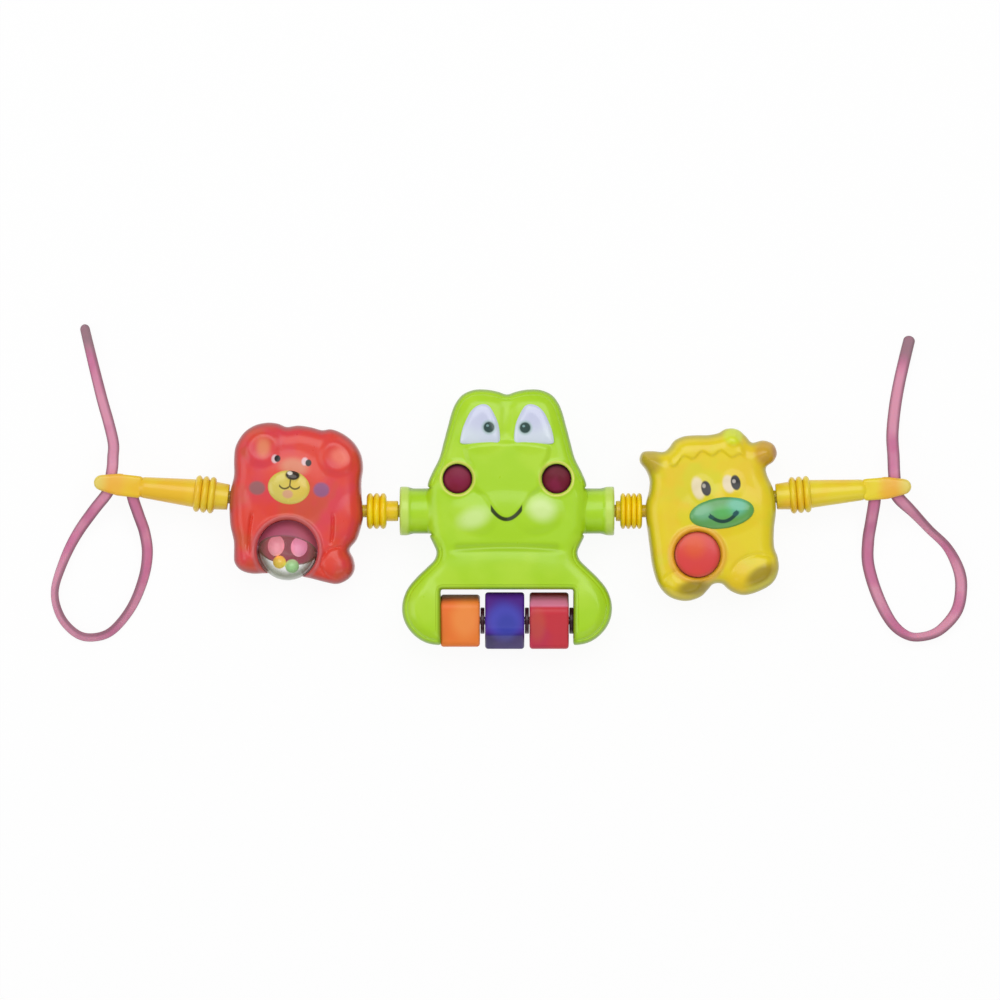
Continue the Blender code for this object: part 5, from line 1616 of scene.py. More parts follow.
@dataclass
class Frog(Animal):
    """The frog in the middle, with its eyes, cheeks and shells."""

    name: str = "frog"
    place: Place = FROG
    half_width: float = 52.3
    head_height: float = 60.6
    foot_depth: float = 67.0
    arm_reach: float = 53.6
    arm_radius: float = 11.3
    arm_rounding: float = 1.5
    cuff_radius: float = 12.2
    cuff_ramp: Pair = (47.5, 49.7)
    slot_half: float = 33.15
    slot_top: float = -39.1
    slot_rounding: float = 2.4
    slot_level: float = 26.9
    edge_level: float = 21.5
    face_level: float = 29.6
    cheek_spots: tuple[Pair, ...] = ((-24.7, 16.1), (24.7, 16.1))
    cheek_radius: float = 7.2
    cheek_hole: float = 7.5
    screw_spots: tuple[Pair, ...] = ((-17.26, 47.87), (17.26, 47.87), (-25.1, -28.81), (25.1, -28.81))
    mounds: tuple[Mound, ...] = (
        Mound(1.3, (-16.2, -1.5), (13.5, 11.0), -22.0),
        Mound(1.1, (-12.5, 44.5), (15.0, 17.0)),
        Mound(1.0, (-41.5, -51.0), (12.5, 19.0)),
        Mound(1.3, (16.2, -1.5), (13.5, 11.0), 22.0),
        Mound(1.1, (12.5, 44.5), (15.0, 17.0)),
        Mound(1.0, (41.5, -51.0), (12.5, 19.0)),
        Mound(0.7, (0.0, -2.0), (30.0, 13.0)),
        Mound(0.9, (0.0, -30.0), (34.0, 13.0)),
    )
    body: Outline = field(init=False)
    edge: Outline = field(init=False)
    muzzle: Outline = field(init=False)

    def __post_init__(self) -> None:
        """Draw the outlines."""
        right = share_points(FROG_HALF, self.half_width, self.head_height, self.foot_depth)
        left = [(-x, y) for x, y in right[1:-1]]
        path = even_steps(flowing([*reversed(right), *left]), 0.5)
        self.body = Outline(path)
        root, cuff, reach = self.arm_radius, self.cuff_radius, self.arm_reach
        start, end = self.cuff_ramp
        arm = [(start, -root), (end, -cuff), (reach, -cuff), (reach, cuff), (end, cuff), (start, root)]
        arm = [(37.0, -root), *arm, (38.0, root)]
        beside = np.abs(path[:, 1]) < root + 0.6
        path = swapped(path, (path[:, 0] > 30.0) & beside, np.array(arm))
        beside = np.abs(path[:, 1]) < root + 0.6
        path = swapped(path, (path[:, 0] < -30.0) & beside, np.array([(-x, y) for x, y in reversed(arm)]))
        gone = (np.abs(path[:, 0]) < self.slot_half) & (path[:, 1] < self.slot_top)
        half, top, low = self.slot_half, self.slot_top, -self.foot_depth
        path = swapped(path, gone, np.array([(-half, low), (-half, top), (half, top), (half, low)]))
        self.edge = Outline(softened(path, 0.7))
        self.muzzle = Outline(flowing([*FROG_SNOUT, *[(-x, y) for x, y in reversed(FROG_SNOUT[1:-1])]]))

    def _arm(self, places: Array) -> Array:
        """Give the arms' rise over the axis.

        Args:
            places: Points of the face.

        Returns:
            Rises, zero beyond the arms.
        """
        across, along = np.abs(places[:, 0]), places[:, 1]
        radius = self.arm_radius + (self.cuff_radius - self.arm_radius) * eased(across, *self.cuff_ramp)
        radius = radius - (self.arm_rounding - quarter(self.arm_reach - across, self.arm_rounding))
        return np.where(across > 28.0, np.sqrt(np.maximum(radius**2 - along**2, 0.0)), 0.0)

    def front_height(self, places: Array, depth: Array) -> Array:
        """Shape the frog's face.

        Args:
            places: Points of the face.
            depth: Their distance from the edge; not used.

        Returns:
            Heights.
        """
        inside = self.body.depth(places)
        x, y = places[:, 0], places[:, 1]
        face = pillow(inside, self.edge_level, self.face_level, 9.0, 2.4)
        level = np.where(inside > 0.0, face, self.edge_level + 6.0 * inside)
        beside, above = np.abs(x) - self.slot_half, y - self.slot_top
        gap = np.hypot(np.maximum(beside, 0.0), np.maximum(above, 0.0))
        curve = quarter(gap, self.slot_rounding) + (gap >= self.slot_rounding) * 9.0
        level = np.minimum(level, self.slot_level + curve)
        within = eased(inside, 2.0, 7.0)
        groove = ridge(inside - 2.45, 0.38) * np.maximum(eased(y, 12.0, 16.0), eased(-y, 15.0, 20.0))
        level = level - 0.55 * groove
        level = level + within * 1.5 * eased(self.muzzle.depth(places), -0.5, 3.2)
        level = raised(level, within, places, self.mounds)
        level = level - ridge(y + 18.0 + 0.0016 * x * x, 1.7) * (1.0 - eased(np.abs(x), 22.0, 31.0))
        level = level - 0.8 * ridge(x, 3.4) * eased(y, 34.0, 40.0) * within
        for spot in self.cheek_spots:
            gap = np.hypot(x - spot[0], y - spot[1])
            level = level + 0.45 * ridge(gap - 8.7, 0.9) - 0.5 * lip(gap - self.cheek_hole, 0.7)
        return soft_max(level, AXIS_HEIGHT + self._arm(places), 2.0)

    def rear_height(self, places: Array, depth: Array) -> Array:
        """Shape the frog's back as if it looked up.

        Args:
            places: Points of the back.
            depth: Their distance from the edge; not used.

        Returns:
            Heights.
        """
        inside = self.body.depth(places)
        level = np.where(inside > 0.0, back_face(inside), back_face(0.0) + 8.0 * inside)
        return soft_max(level, REAR_SEAM + self._arm(places), 1.5)

    def _eye(self, side: int) -> None:
        """Make one white eye.

        Args:
            side: -1 for the left eye and 1 for the right.
        """
        points = share_points(FROG_EYE, side * self.half_width, self.head_height, self.foot_depth)
        outline = Outline(softened(flowing(points if side > 0 else points[::-1]), 0.3), 0.6)
        word = "left" if side < 0 else "right"
        pupil = (-9.0, 41.75) if side < 0 else (9.0, 41.5)
        glint = (pupil[0] - 0.7, pupil[1] + 0.8)
        prints_and_painted_light = (
            dot((196, 196, 232), (side * 13.5, 47.0), (8.0, 7.0), 0.6, 0.55),
            dot((150, 186, 176), pupil, (3.5, 3.5), 0.25, 0.7),
            dot((24, 62, 56), pupil, (2.7, 2.7), 0.16),
            dot((120, 160, 158), glint, (0.7, 0.6), 0.3),
        )
        colours = ((216, 226, 236), (206, 214, 234), None)
        white = Plastic(f"eye_white_{word}", *colours, self.place, prints_and_painted_light, 0.2, 0.5)
        levels = (28.6, 30.0, 31.7)
        self.dome(f"frog_{word}_eye_white", f"frog_{word}_eye", outline, levels, 5.0, 0.6, white)

    def _cheek(self, side: int) -> None:
        """Make one sunken cheek, with painted shade round its edge and a painted shadow across its top.

        Args:
            side: -1 for the left cheek and 1 for the right.
        """
        word = "left" if side < 0 else "right"
        spot = self.cheek_spots[side > 0]
        radius, low, crown = self.cheek_radius, 25.3, 28.9
        dome = [(crown - 1.6 * (r / radius) ** 2.4, r) for r in np.linspace(radius, 0.0, 12)]
        profile = [(low, 0.0), (low, radius), *dome]
        cheek = lathe(f"frog_{word}_cheek_disc", profile, self.place, True, (*spot, 0.0))
        colour = (128, 28, 52) if side < 0 else (108, 20, 40)
        shaded = (spot[0], spot[1] - 1.5)
        prints_and_painted_light = (
            # Painted shade: a dim ring round the disc's edge, and a dim crescent across its top for the
            # shadow of the hole's upper wall.
            PrintAndPaintedLight(Mark.RING, (74, 12, 40), spot, (radius, radius), line=0.10, soft=0.10, strength=0.6),
            PrintAndPaintedLight(Mark.RING, (48, 8, 28), shaded, (8.4, 8.4), line=0.14, soft=0.13, strength=0.85),
        )
        plum = Plastic(
            f"cheek_plum_{word}", colour, (138, 36, 74), None, self.place, prints_and_painted_light, 0.36, 0.0, 90.0, gloss=0.2
        )
        place_on(dress(cheek, plum), "frog", f"frog_{word}_cheek")

    def _axle_seat(self) -> Piece:
        """Make the room that both legs leave for the blocks' axle."""
        return rod("axle_seat", self.place, (-39.4, BLOCK_AXLE, AXIS_HEIGHT), 78.8, 2.3)

    def build(self, rule: Recipe, steel: bpy.types.Material) -> None:
        """Make the frog's own pieces.

        Args:
            rule: The rule of the screw heads.
            steel: The screws' material.
        """
        radii = (7.55, 7.75, 8.0, 8.3, 8.7, 9.1, 9.6)
        details = [ellipse(spot, (r, r), 60) for spot in self.cheek_spots for r in radii]
        for row in (self.muzzle.inset(depth) for depth in (-0.3, 0.3, 0.9)):
            details.append(row[self.body.depth(row) > 5.0])
        rims = [
            PrintAndPaintedLight(Mark.RING, (224, 222, 104), spot, (8.3, 8.3), line=0.07, soft=0.07, strength=0.8)
            for spot in self.cheek_spots
        ]
        cuffs = [
            PrintAndPaintedLight(Mark.BAND, (204, 230, 104), (middle, 0.0), (2.6, 14.0), soft=1.0, strength=0.8)
            for middle in (51.6, -51.6)
        ]
        face = (
            *rims,
            # Painted highlights: two pale spots on the jaws, where the light catches them.
            dot((212, 240, 150), (-16.6, -3.4), (7.5, 4.6), 0.6, 0.85, 20.0),
            dot((216, 240, 158), (17.2, 1.2), (6.6, 5.6), 0.6, 0.85, -25.0),
            *cuffs,
            # Painted shade: a darker band along the belly crease.
            PrintAndPaintedLight(Mark.BAND, (150, 190, 16), (0.0, -18.0), (26.0, 2.2), soft=1.2, strength=0.4),
            PrintAndPaintedLight(Mark.CURVE, (48, 62, 6), (-0.3, -4.1), (7.8, 0.0), line=0.95, soft=0.3, bend=0.094),
        )
        finishes = (
            # The third colour is painted shade, a darker olive towards the outline.
            Plastic(
                "lime_front", (170, 218, 22), (186, 226, 52), (120, 158, 26), self.place, face, edge_shade_depth=2.2
            ),
            Plastic("lime_rear", (166, 214, 24), (182, 222, 50), None, self.place),
        )
        holes = [cylinder("hole", self.place, spot, self.cheek_hole, 25.0, 36.0) for spot in self.cheek_spots]
        cuts = ([self._axle_seat(), *holes], [self._axle_seat()])
        self.shells((self.edge, self.edge), (0.62, 2.4), details, cuts, self.edge, self.arm_reach, finishes)
        for side in (-1, 1):
            self._eye(side)
            self._cheek(side)
        self.screws(rule, steel, 4)


@dataclass
class Blocks:
    """Three turning blocks with their axle and spacers."""

    place: Place = FROG
    width: float = 19.6
    flats: float = 23.5
    corner: float = 4.0
    rounding: float = 1.5
    bore: float = 2.3
    centres: tuple[float, ...] = (-23.35, -1.15, 21.05)
    turns: tuple[float, ...] = (10.0, -24.0, 22.0)
    spacer_starts: tuple[float, ...] = (-13.25, 8.95, 31.15)
    spacer_radius: float = 6.6
    spacer_width: float = 2.0

    def _loop(self, shrink: float) -> Array:
        """Draw the rounded square.

        Args:
            shrink: How much smaller it is.

        Returns:
            Points of the square.
        """
        half, radius = self.flats / 2 - self.corner, self.corner - shrink
        points = []
        for number in range(4):
            centre = (half if number in (0, 3) else -half, half if number in (0, 1) else -half)
            for step in range(10):
                angle = math.pi / 2 * (number + step / 9)
                points.append((centre[0] + radius * math.cos(angle), centre[1] + radius * math.sin(angle)))
        return np.array(points)

    def _block(self, number: int, name: str, finish: Plastic) -> None:
        """Make one block.

        Args:
            number: Its number from the left.
            name: Its colour word.
            finish: Its finish.
        """
        rings = []
        for angle in np.linspace(0.0, math.pi / 2, 6):
            loop = self._loop(self.rounding * (1.0 - math.sin(angle)))
            side = -self.width / 2 + self.rounding * (1.0 - math.cos(angle))
            rings.append(np.column_stack((loop, np.full(len(loop), side))))
        rings += [np.column_stack((ring[:, :2], -ring[:, 2])) for ring in reversed(rings)]
        turn, middle = math.radians(self.turns[number]), self.centres[number]

        def turned(points: Array) -> Array:
            """Lay the block along X and turn it about its axle."""
            across, y, z = points[:, 2], points[:, 0], points[:, 1]
            around = (y * math.cos(turn) - z * math.sin(turn), y * math.sin(turn) + z * math.cos(turn))
            return np.stack((across, *around), axis=1) + np.array((middle, BLOCK_AXLE, AXIS_HEIGHT))

        block = lofted(f"{name}_block_turned", rings, self.place, turned)
        combine(block, [rod("bore", self.place, (middle - 14, BLOCK_AXLE, AXIS_HEIGHT), 28.0, self.bore)])
        place_on(dress(smooth(block, 30), finish), f"{name}_block", f"block_{name}")

    def _tint(
        self, block: int, mark: Mark, colour: Colour, shift: Pair, radii: Pair, soft: float, share: float
    ) -> PrintAndPaintedLight:
        """Tint a part of a block that is shifted from its middle; most of these tints are painted light and
        shade.
        """
        centre = (self.centres[block] + shift[0], BLOCK_AXLE + shift[1])
        return PrintAndPaintedLight(mark, colour, centre, radii, soft=soft, strength=share)

    def build(self, steel: bpy.types.Material) -> None:
        """Make the blocks, the axle and the spacers.

        Args:
            steel: The axle's material.
        """
        orange = (
            # Painted highlight: a lighter spot in the middle; painted shade: a dimmer spot at the upper edge.
            self._tint(0, Mark.SPOT, (250, 158, 84), (2.5, 1.0), (6.5, 9.0), 0.5, 0.6),
            self._tint(0, Mark.SPOT, (206, 104, 62), (-8.5, 12.0), (4.0, 3.0), 0.5, 0.5),
        )
        purple = (
            # Painted shade: the dim band on the lower face and the dim spots at its lower corners; the blue
            # spots give a lighter round middle.
            self._tint(1, Mark.BAND, (38, 18, 92), (0.0, -10.6), (11.0, 4.0), 1.0, 0.7),
            self._tint(1, Mark.SPOT, (74, 80, 192), (0.0, 0.0), (8.8, 8.8), 0.4, 0.8),
            self._tint(1, Mark.SPOT, (46, 62, 158), (1.0, -2.0), (5.0, 5.0), 0.5, 0.5),
            self._tint(1, Mark.SPOT, (38, 18, 92), (-9.0, -11.5), (4.0, 4.5), 0.5, 0.7),
            self._tint(1, Mark.SPOT, (60, 20, 110), (8.0, -10.5), (4.0, 4.0), 0.5, 0.5),
        )
        red = (
            # Painted light: a bright pink band on the upper face, which the slot's wall shades.
            self._tint(2, Mark.BAND, (255, 150, 190), (0.0, 9.8), (9.8, 2.6), 0.8, 0.95),
            self._tint(2, Mark.SPOT, (206, 96, 70), (-6.0, -2.0), (4.0, 8.0), 0.5, 0.5),
        )
        looks = {
            "orange": ((240, 130, 52), (246, 116, 62), 0.36, 0.25, orange),
            "purple": ((86, 38, 140), (68, 40, 146), 0.38, 0.15, purple),
            "red": ((208, 58, 70), (192, 54, 92), 0.36, 0.25, red),
        }
        for number, (word, (colour, patch, roughness, gloss, prints_and_painted_light)) in enumerate(looks.items()):
            finish = (f"block_{word}", colour, patch, None, self.place, prints_and_painted_light, roughness, 0.0)
            self._block(number, word, Plastic(*finish, gloss=gloss))
        # Painted shade: the spacers take a deep plum that stands in for the shade in the gaps between the
        # blocks.
        dark = Plastic("spacer_dark", (70, 30, 50), (92, 34, 62), None, self.place).build()
        wide, radius = self.spacer_width, self.spacer_radius
        profile = eased_profile(((0.0, 0.0, 0), (0.0, radius, 0.5), (wide, radius, 0.5), (wide, 0.0, 0)))
        for word, start in zip(("left", "middle", "right"), self.spacer_starts):
            disc = lathe(f"spacer_disc_{word}", profile, self.place, centre=(start, BLOCK_AXLE, AXIS_HEIGHT))
            bore = rod("bore", self.place, (start - 3, BLOCK_AXLE, AXIS_HEIGHT), 8.0, self.bore - 0.05)
            combine(disc, [bore])
            place_on(dress(smooth(disc, 30), dark), "frog", f"spacer_{word}")
        axle = rod("axle_pin", self.place, (-38.85, BLOCK_AXLE, AXIS_HEIGHT), 77.7, 2.0)
        place_on(dress(axle, steel), "frog", "block_axle")


@dataclass
class Bear(Animal):
    """The bear with the round opening for the rattle ball."""

    name: str = "bear"
    place: Place = BEAR
    half_width: float = 33.5
    height: float = 39.5
    depth: float = 37.0
    opening: Pair = (-1.91, -23.09)
    opening_radius: float = 15.35
    back_radius: float = 14.2
    screw_spots: tuple[Pair, ...] = ((-20.77, 26.86), (18.76, 26.86), (-2.01, 1.98))
    mounds: tuple[Mound, ...] = (
        Mound(1.7, (-20.6, 26.8), (11.0, 11.0)),
        Mound(-1.0, (-20.6, 26.8), (7.4, 7.4)),
        Mound(1.7, (17.9, 26.4), (11.0, 11.0)),
        Mound(-1.0, (17.9, 26.4), (7.4, 7.4)),
        Mound(1.2, (-4.0, 9.0), (21.0, 19.0)),
        Mound(1.0, (24.0, -26.8), (9.6, 9.6)),
        Mound(0.9, (-22.5, -30.5), (8.0, 9.0)),
        Mound(0.8, (-27.0, -12.0), (6.5, 18.0)),
        Mound(0.8, (26.0, -6.0), (7.5, 15.0)),
    )
    creases: tuple[Triple, ...] = ((-21.6, -26.0, -7.0), (19.6, -17.0, -3.0))
    foot: Pair = (24.2, -27.0)
    body: Outline = field(init=False)
    edge: Outline = field(init=False)
    back_edge: Outline = field(init=False)

    def __post_init__(self) -> None:
        """Draw the outlines."""
        path = even_steps(flowing(share_points(BEAR_OUTLINE, self.half_width, self.height, self.depth)), 0.4)
        self.body = Outline(softened(path, 0.4))
        self.edge = self._opened(path, self.opening_radius)
        self.back_edge = self._opened(path, self.back_radius)

    def _opened(self, path: Array, radius: float) -> Outline:
        """Cut the ball's opening out of the bear's outline.

        Args:
            path: The outline.
            radius: Radius of the opening.

        Returns:
            The outline with the opening.
        """
        x, y = self.opening
        gone = np.hypot(path[:, 0] - x, path[:, 1] - y) < radius
        kept = swapped(path, gone, np.empty((0, 2)))
        start = math.atan2(kept[-1][1] - y, kept[-1][0] - x) % math.tau
        end = math.atan2(kept[0][1] - y, kept[0][0] - x)
        angles = np.linspace(start, end, 140)
        arc = np.stack((x + radius * np.cos(angles), y + radius * np.sin(angles)), axis=1)
        return Outline(softened(swapped(path, gone, arc), 0.35))

    def front_height(self, places: Array, depth: Array) -> Array:
        """Shape the bear's face.

        Args:
            places: Points of the face.
            depth: Their distance from the edge; not used.

        Returns:
            Heights.
        """
        inside = self.body.depth(places)
        x, y = places[:, 0], places[:, 1]
        level = pillow(inside, 20.5, 29.4, 9.5, 2.2)
        within = eased(inside, 1.0, 6.0)
        level = raised(level, within, places, self.mounds)
        for line, low, high in self.creases:
            bow = 0.012 * (y + 15.0) ** 2 * np.sign(line) * -0.5
            ends = eased(y, low - 2.0, low + 2.0) * (1.0 - eased(y, high - 2.0, high + 2.0))
            level = level - 1.1 * ridge(x - line - bow, 0.75) * ends
        rim = np.hypot(x - self.foot[0], y - self.foot[1]) - 8.4
        level = level - 0.9 * ridge(rim, 0.8) * within * eased(x, 14.0, 17.0) * eased(y, -36.0, -33.0)
        ring = np.hypot(x - self.opening[0], y - self.opening[1]) - self.opening_radius
        return level + 0.8 * ridge(ring - 1.5, 1.1) * within - 0.9 * lip(ring, 1.0)

    def rear_height(self, places: Array, depth: Array) -> Array:
        """Shape the bear's back as if it looked up."""
        ring = np.hypot(places[:, 0] - self.opening[0], places[:, 1] - self.opening[1]) - self.back_radius
        return back_face(self.body.depth(places)) - 0.8 * lip(ring, 0.9)

    def _pin_seat(self) -> Piece:
        """Make the room that a shell leaves for the rattle ball's side pins."""
        x, y = self.opening
        reach = self.opening_radius + 4.75
        return rod("pin_seat", self.place, (x - reach, y, AXIS_HEIGHT), 2 * reach, 2.1)

    def build(self, rule: Recipe, steel: bpy.types.Material) -> None:
        """Make the bear's own pieces.

        Args:
            rule: The rule of the screw heads.
            steel: The screws' material.
        """
        widths = (0.25, 0.5, 0.8, 1.2, 1.7, 2.3)
        details = [ellipse(self.opening, (self.opening_radius + d,) * 2, 130) for d in widths]
        face = (
            # Painted highlights: lighter spots in the ear dishes.
            dot((232, 142, 96), (-19.4, 26.6), (3.2, 4.4), 0.6, 0.75),
            dot((244, 126, 106), (18.9, 26.4), (4.4, 3.4), 0.6, 0.8, -20.0),
            dot((140, 100, 102), (-20.2, 6.2), (4.0, 3.4), 0.22, 0.85),
            dot((136, 92, 140), (11.7, 8.9), (3.9, 3.6), 0.22, 0.85),
            dot((222, 160, 122), (-3.2, 18.6), (6.8, 4.4), 0.45, 0.6),
            # Painted highlights: small pale glints beside the pupils, which the pupils partly cover.
            dot((232, 220, 226), (-13.1, 21.6), (1.6, 2.1), 0.3, 0.75),
            dot((236, 216, 224), (1.9, 22.0), (1.6, 2.0), 0.3, 0.75),
            dot((14, 3, 8), (-11.8, 21.9), (1.5, 1.7), 0.16),
            dot((14, 3, 8), (3.8, 21.5), (1.5, 1.7), 0.16),
            PrintAndPaintedLight(Mark.RING, (190, 104, 108), self.opening, (16.6, 16.6), line=0.06, soft=0.05, strength=0.6),
        )
        look = {"patch_scale": 60.0, "cloud": (206, 88, 44)}
        finishes = (
            # The third colour is painted shade, a deeper maroon towards the outline.
            Plastic("bear_red_front", (228, 66, 48), (218, 58, 88), (146, 50, 56), self.place, face, **look),
            Plastic("bear_red_rear", (218, 68, 54), (212, 60, 78), None, self.place),
        )
        room = cylinder("ball_room", self.place, self.opening, self.opening_radius, 8.0, 18.0)
        cuts = ([self._pin_seat()], [self._pin_seat(), room])
        edges = (self.edge, self.back_edge)
        self.shells(edges, (0.55, 2.0), details, cuts, self.body, self.half_width, finishes)
        self._muzzle()
        self.screws(rule, steel, 9)

    def _muzzle(self) -> None:
        """Make the yellow muzzle with its printed nose and mouth and a painted highlight on the nose."""
        outline = Outline(ellipse((-4.49, 8.30), (10.6, 8.6), 200), 0.6)
        prints_and_painted_light = (
            dot((232, 196, 70), (0.6, 8.6), (6.0, 5.5), 0.6, 0.6),
            dot((44, 30, 14), (-3.3, 14.5), (3.5, 2.4), 0.16),
            # Painted highlight: a pale glint on the nose.
            dot((236, 230, 214), (-4.8, 15.4), (1.3, 0.9), 0.35),
            PrintAndPaintedLight(Mark.BAND, (96, 84, 26), (-4.1, 10.6), (0.35, 1.8), soft=0.2),
            PrintAndPaintedLight(Mark.CURVE, (96, 84, 26), (-6.8, 7.4), (2.6, 0.0), line=0.42, soft=0.2, bend=0.2),
            PrintAndPaintedLight(Mark.CURVE, (96, 84, 26), (-1.6, 7.8), (2.6, 0.0), line=0.42, soft=0.2, bend=0.2),
            dot((218, 158, 130), (-4.7, 4.9), (2.6, 2.1), 0.25, 0.85),
        )
        colours = ((218, 200, 84), (212, 196, 96), None)
        yellow = Plastic("muzzle_yellow", *colours, self.place, prints_and_painted_light, 0.26, 0.35)
        nose = (Mound(0.8, (-3.5, 13.9), (3.9, 3.0)),)
        levels = (28.9, 30.0, 31.9)
        self.dome("bear_muzzle_dome", "bear_muzzle", outline, levels, 6.0, 0.45, yellow, nose)


@dataclass
class Rattle:
    """The rattle ball of two halves with loose beads inside."""

    place: Place = RATTLE
    radius: float = 15.0
    wall: float = 1.4
    turn: float = math.radians(60.0)
    pin_radius: float = 1.8
    pin_starts: Pair = (-19.7, 13.65)

    def _set(self, piece: Piece, own: Matrix) -> Piece:
        """Move a piece from the ball's own middle to its place in the bear.

        Args:
            piece: The piece.
            own: Its turn and place in the ball.

        Returns:
            The same piece.
        """
        middle = Matrix.Translation(Vector((self.place.x, self.place.y, self.place.z)) * MM)
        piece.data.transform(middle @ Matrix.Rotation(self.place.turn, 4, "Z") @ own)
        return piece

    def _half(self, name: str, towards: int) -> Piece:
        """Make one half.

        Args:
            name: Name of the half.
            towards: 1 for the clear half and -1 for the mauve one.

        Returns:
            The new object.
        """
        inner = self.radius - self.wall
        angles = np.linspace(0.0102, math.pi / 2, 30)
        profile = [(inner * math.sin(a), inner * math.cos(a)) for a in reversed(angles)]
        profile[0] = (inner, 0.0)
        profile += [(self.radius * math.sin(a), self.radius * math.cos(a)) for a in angles]
        profile[-1] = (self.radius, 0.0)
        half = lathe(name, profile, FROG, sides=96)
        facing = Matrix.Rotation(-towards * math.pi / 2, 4, "Y")
        return self._set(half, Matrix.Rotation(self.turn, 4, "X") @ facing)

    def build(self) -> None:
        """Make the ball and its beads."""
        mauve = self._half("rattle_mauve_cup", -1)
        clear = self._half("rattle_clear_cup", 1)
        for start in self.pin_starts:
            combine(clear, [rod("relief", self.place, (start - 0.4, 0.0, 0.0), 6.9, self.pin_radius + 0.3)])
            combine(mauve, [rod("pin", self.place, (start, 0.0, 0.0), 6.05, self.pin_radius)], Join.ADD)
        finish = ("rattle_mauve", (162, 90, 108), (150, 74, 100), None, self.place, (), 0.3, 0.2)
        # Painted light: the mauve half glows, lightening its inside where the halves shade it.
        place_on(dress(smooth(mauve), Plastic(*finish, glow=0.33)), "rattle_ball", "rattle_mauve_half")
        place_on(dress(smooth(clear), ClearPlastic()), "rattle_ball", "rattle_clear_half")
        # Painted light: each bead glows by its last number, lightening it inside the shaded ball.
        beads = {
            "bead_pink_left": ((-0.76, 0.20), 4.2, 5.2, (250, 162, 178), 0.50),
            "bead_pink_right": ((0.64, 0.28), 4.2, 5.0, (250, 160, 196), 0.50),
            "bead_yellow": ((-0.36, -0.64), 3.3, 3.3, (250, 214, 84), 0.32),
            "bead_mint": ((0.30, -0.78), 3.5, 3.5, (170, 226, 156), 0.32),
        }
        profile = [(-math.cos(a), math.sin(a)) for a in np.linspace(0.0, math.pi, 25)]
        profile[0], profile[-1] = (-1.0, 0.0), (1.0, 0.0)
        for node, ((across, along), radius, length, colour, glow) in beads.items():
            down = -math.sqrt(1.0 - across**2 - along**2)
            spot = (self.radius - self.wall - length - 0.3) * np.array((across, along, down))
            bead = lathe(f"{node}_round", profile, FROG, sides=40)
            size = Matrix.Diagonal((length, radius, radius, 1.0))
            move = Matrix.Translation(Vector(spot) * MM) @ Matrix.Rotation(math.pi / 2, 4, "Z")
            self._set(bead, move @ size)
            finish = Plastic(f"{node}_finish", colour, colour, None, self.place, (), 0.22, 0.5, glow=glow)
            place_on(dress(smooth(bead), finish), "rattle_ball", node)


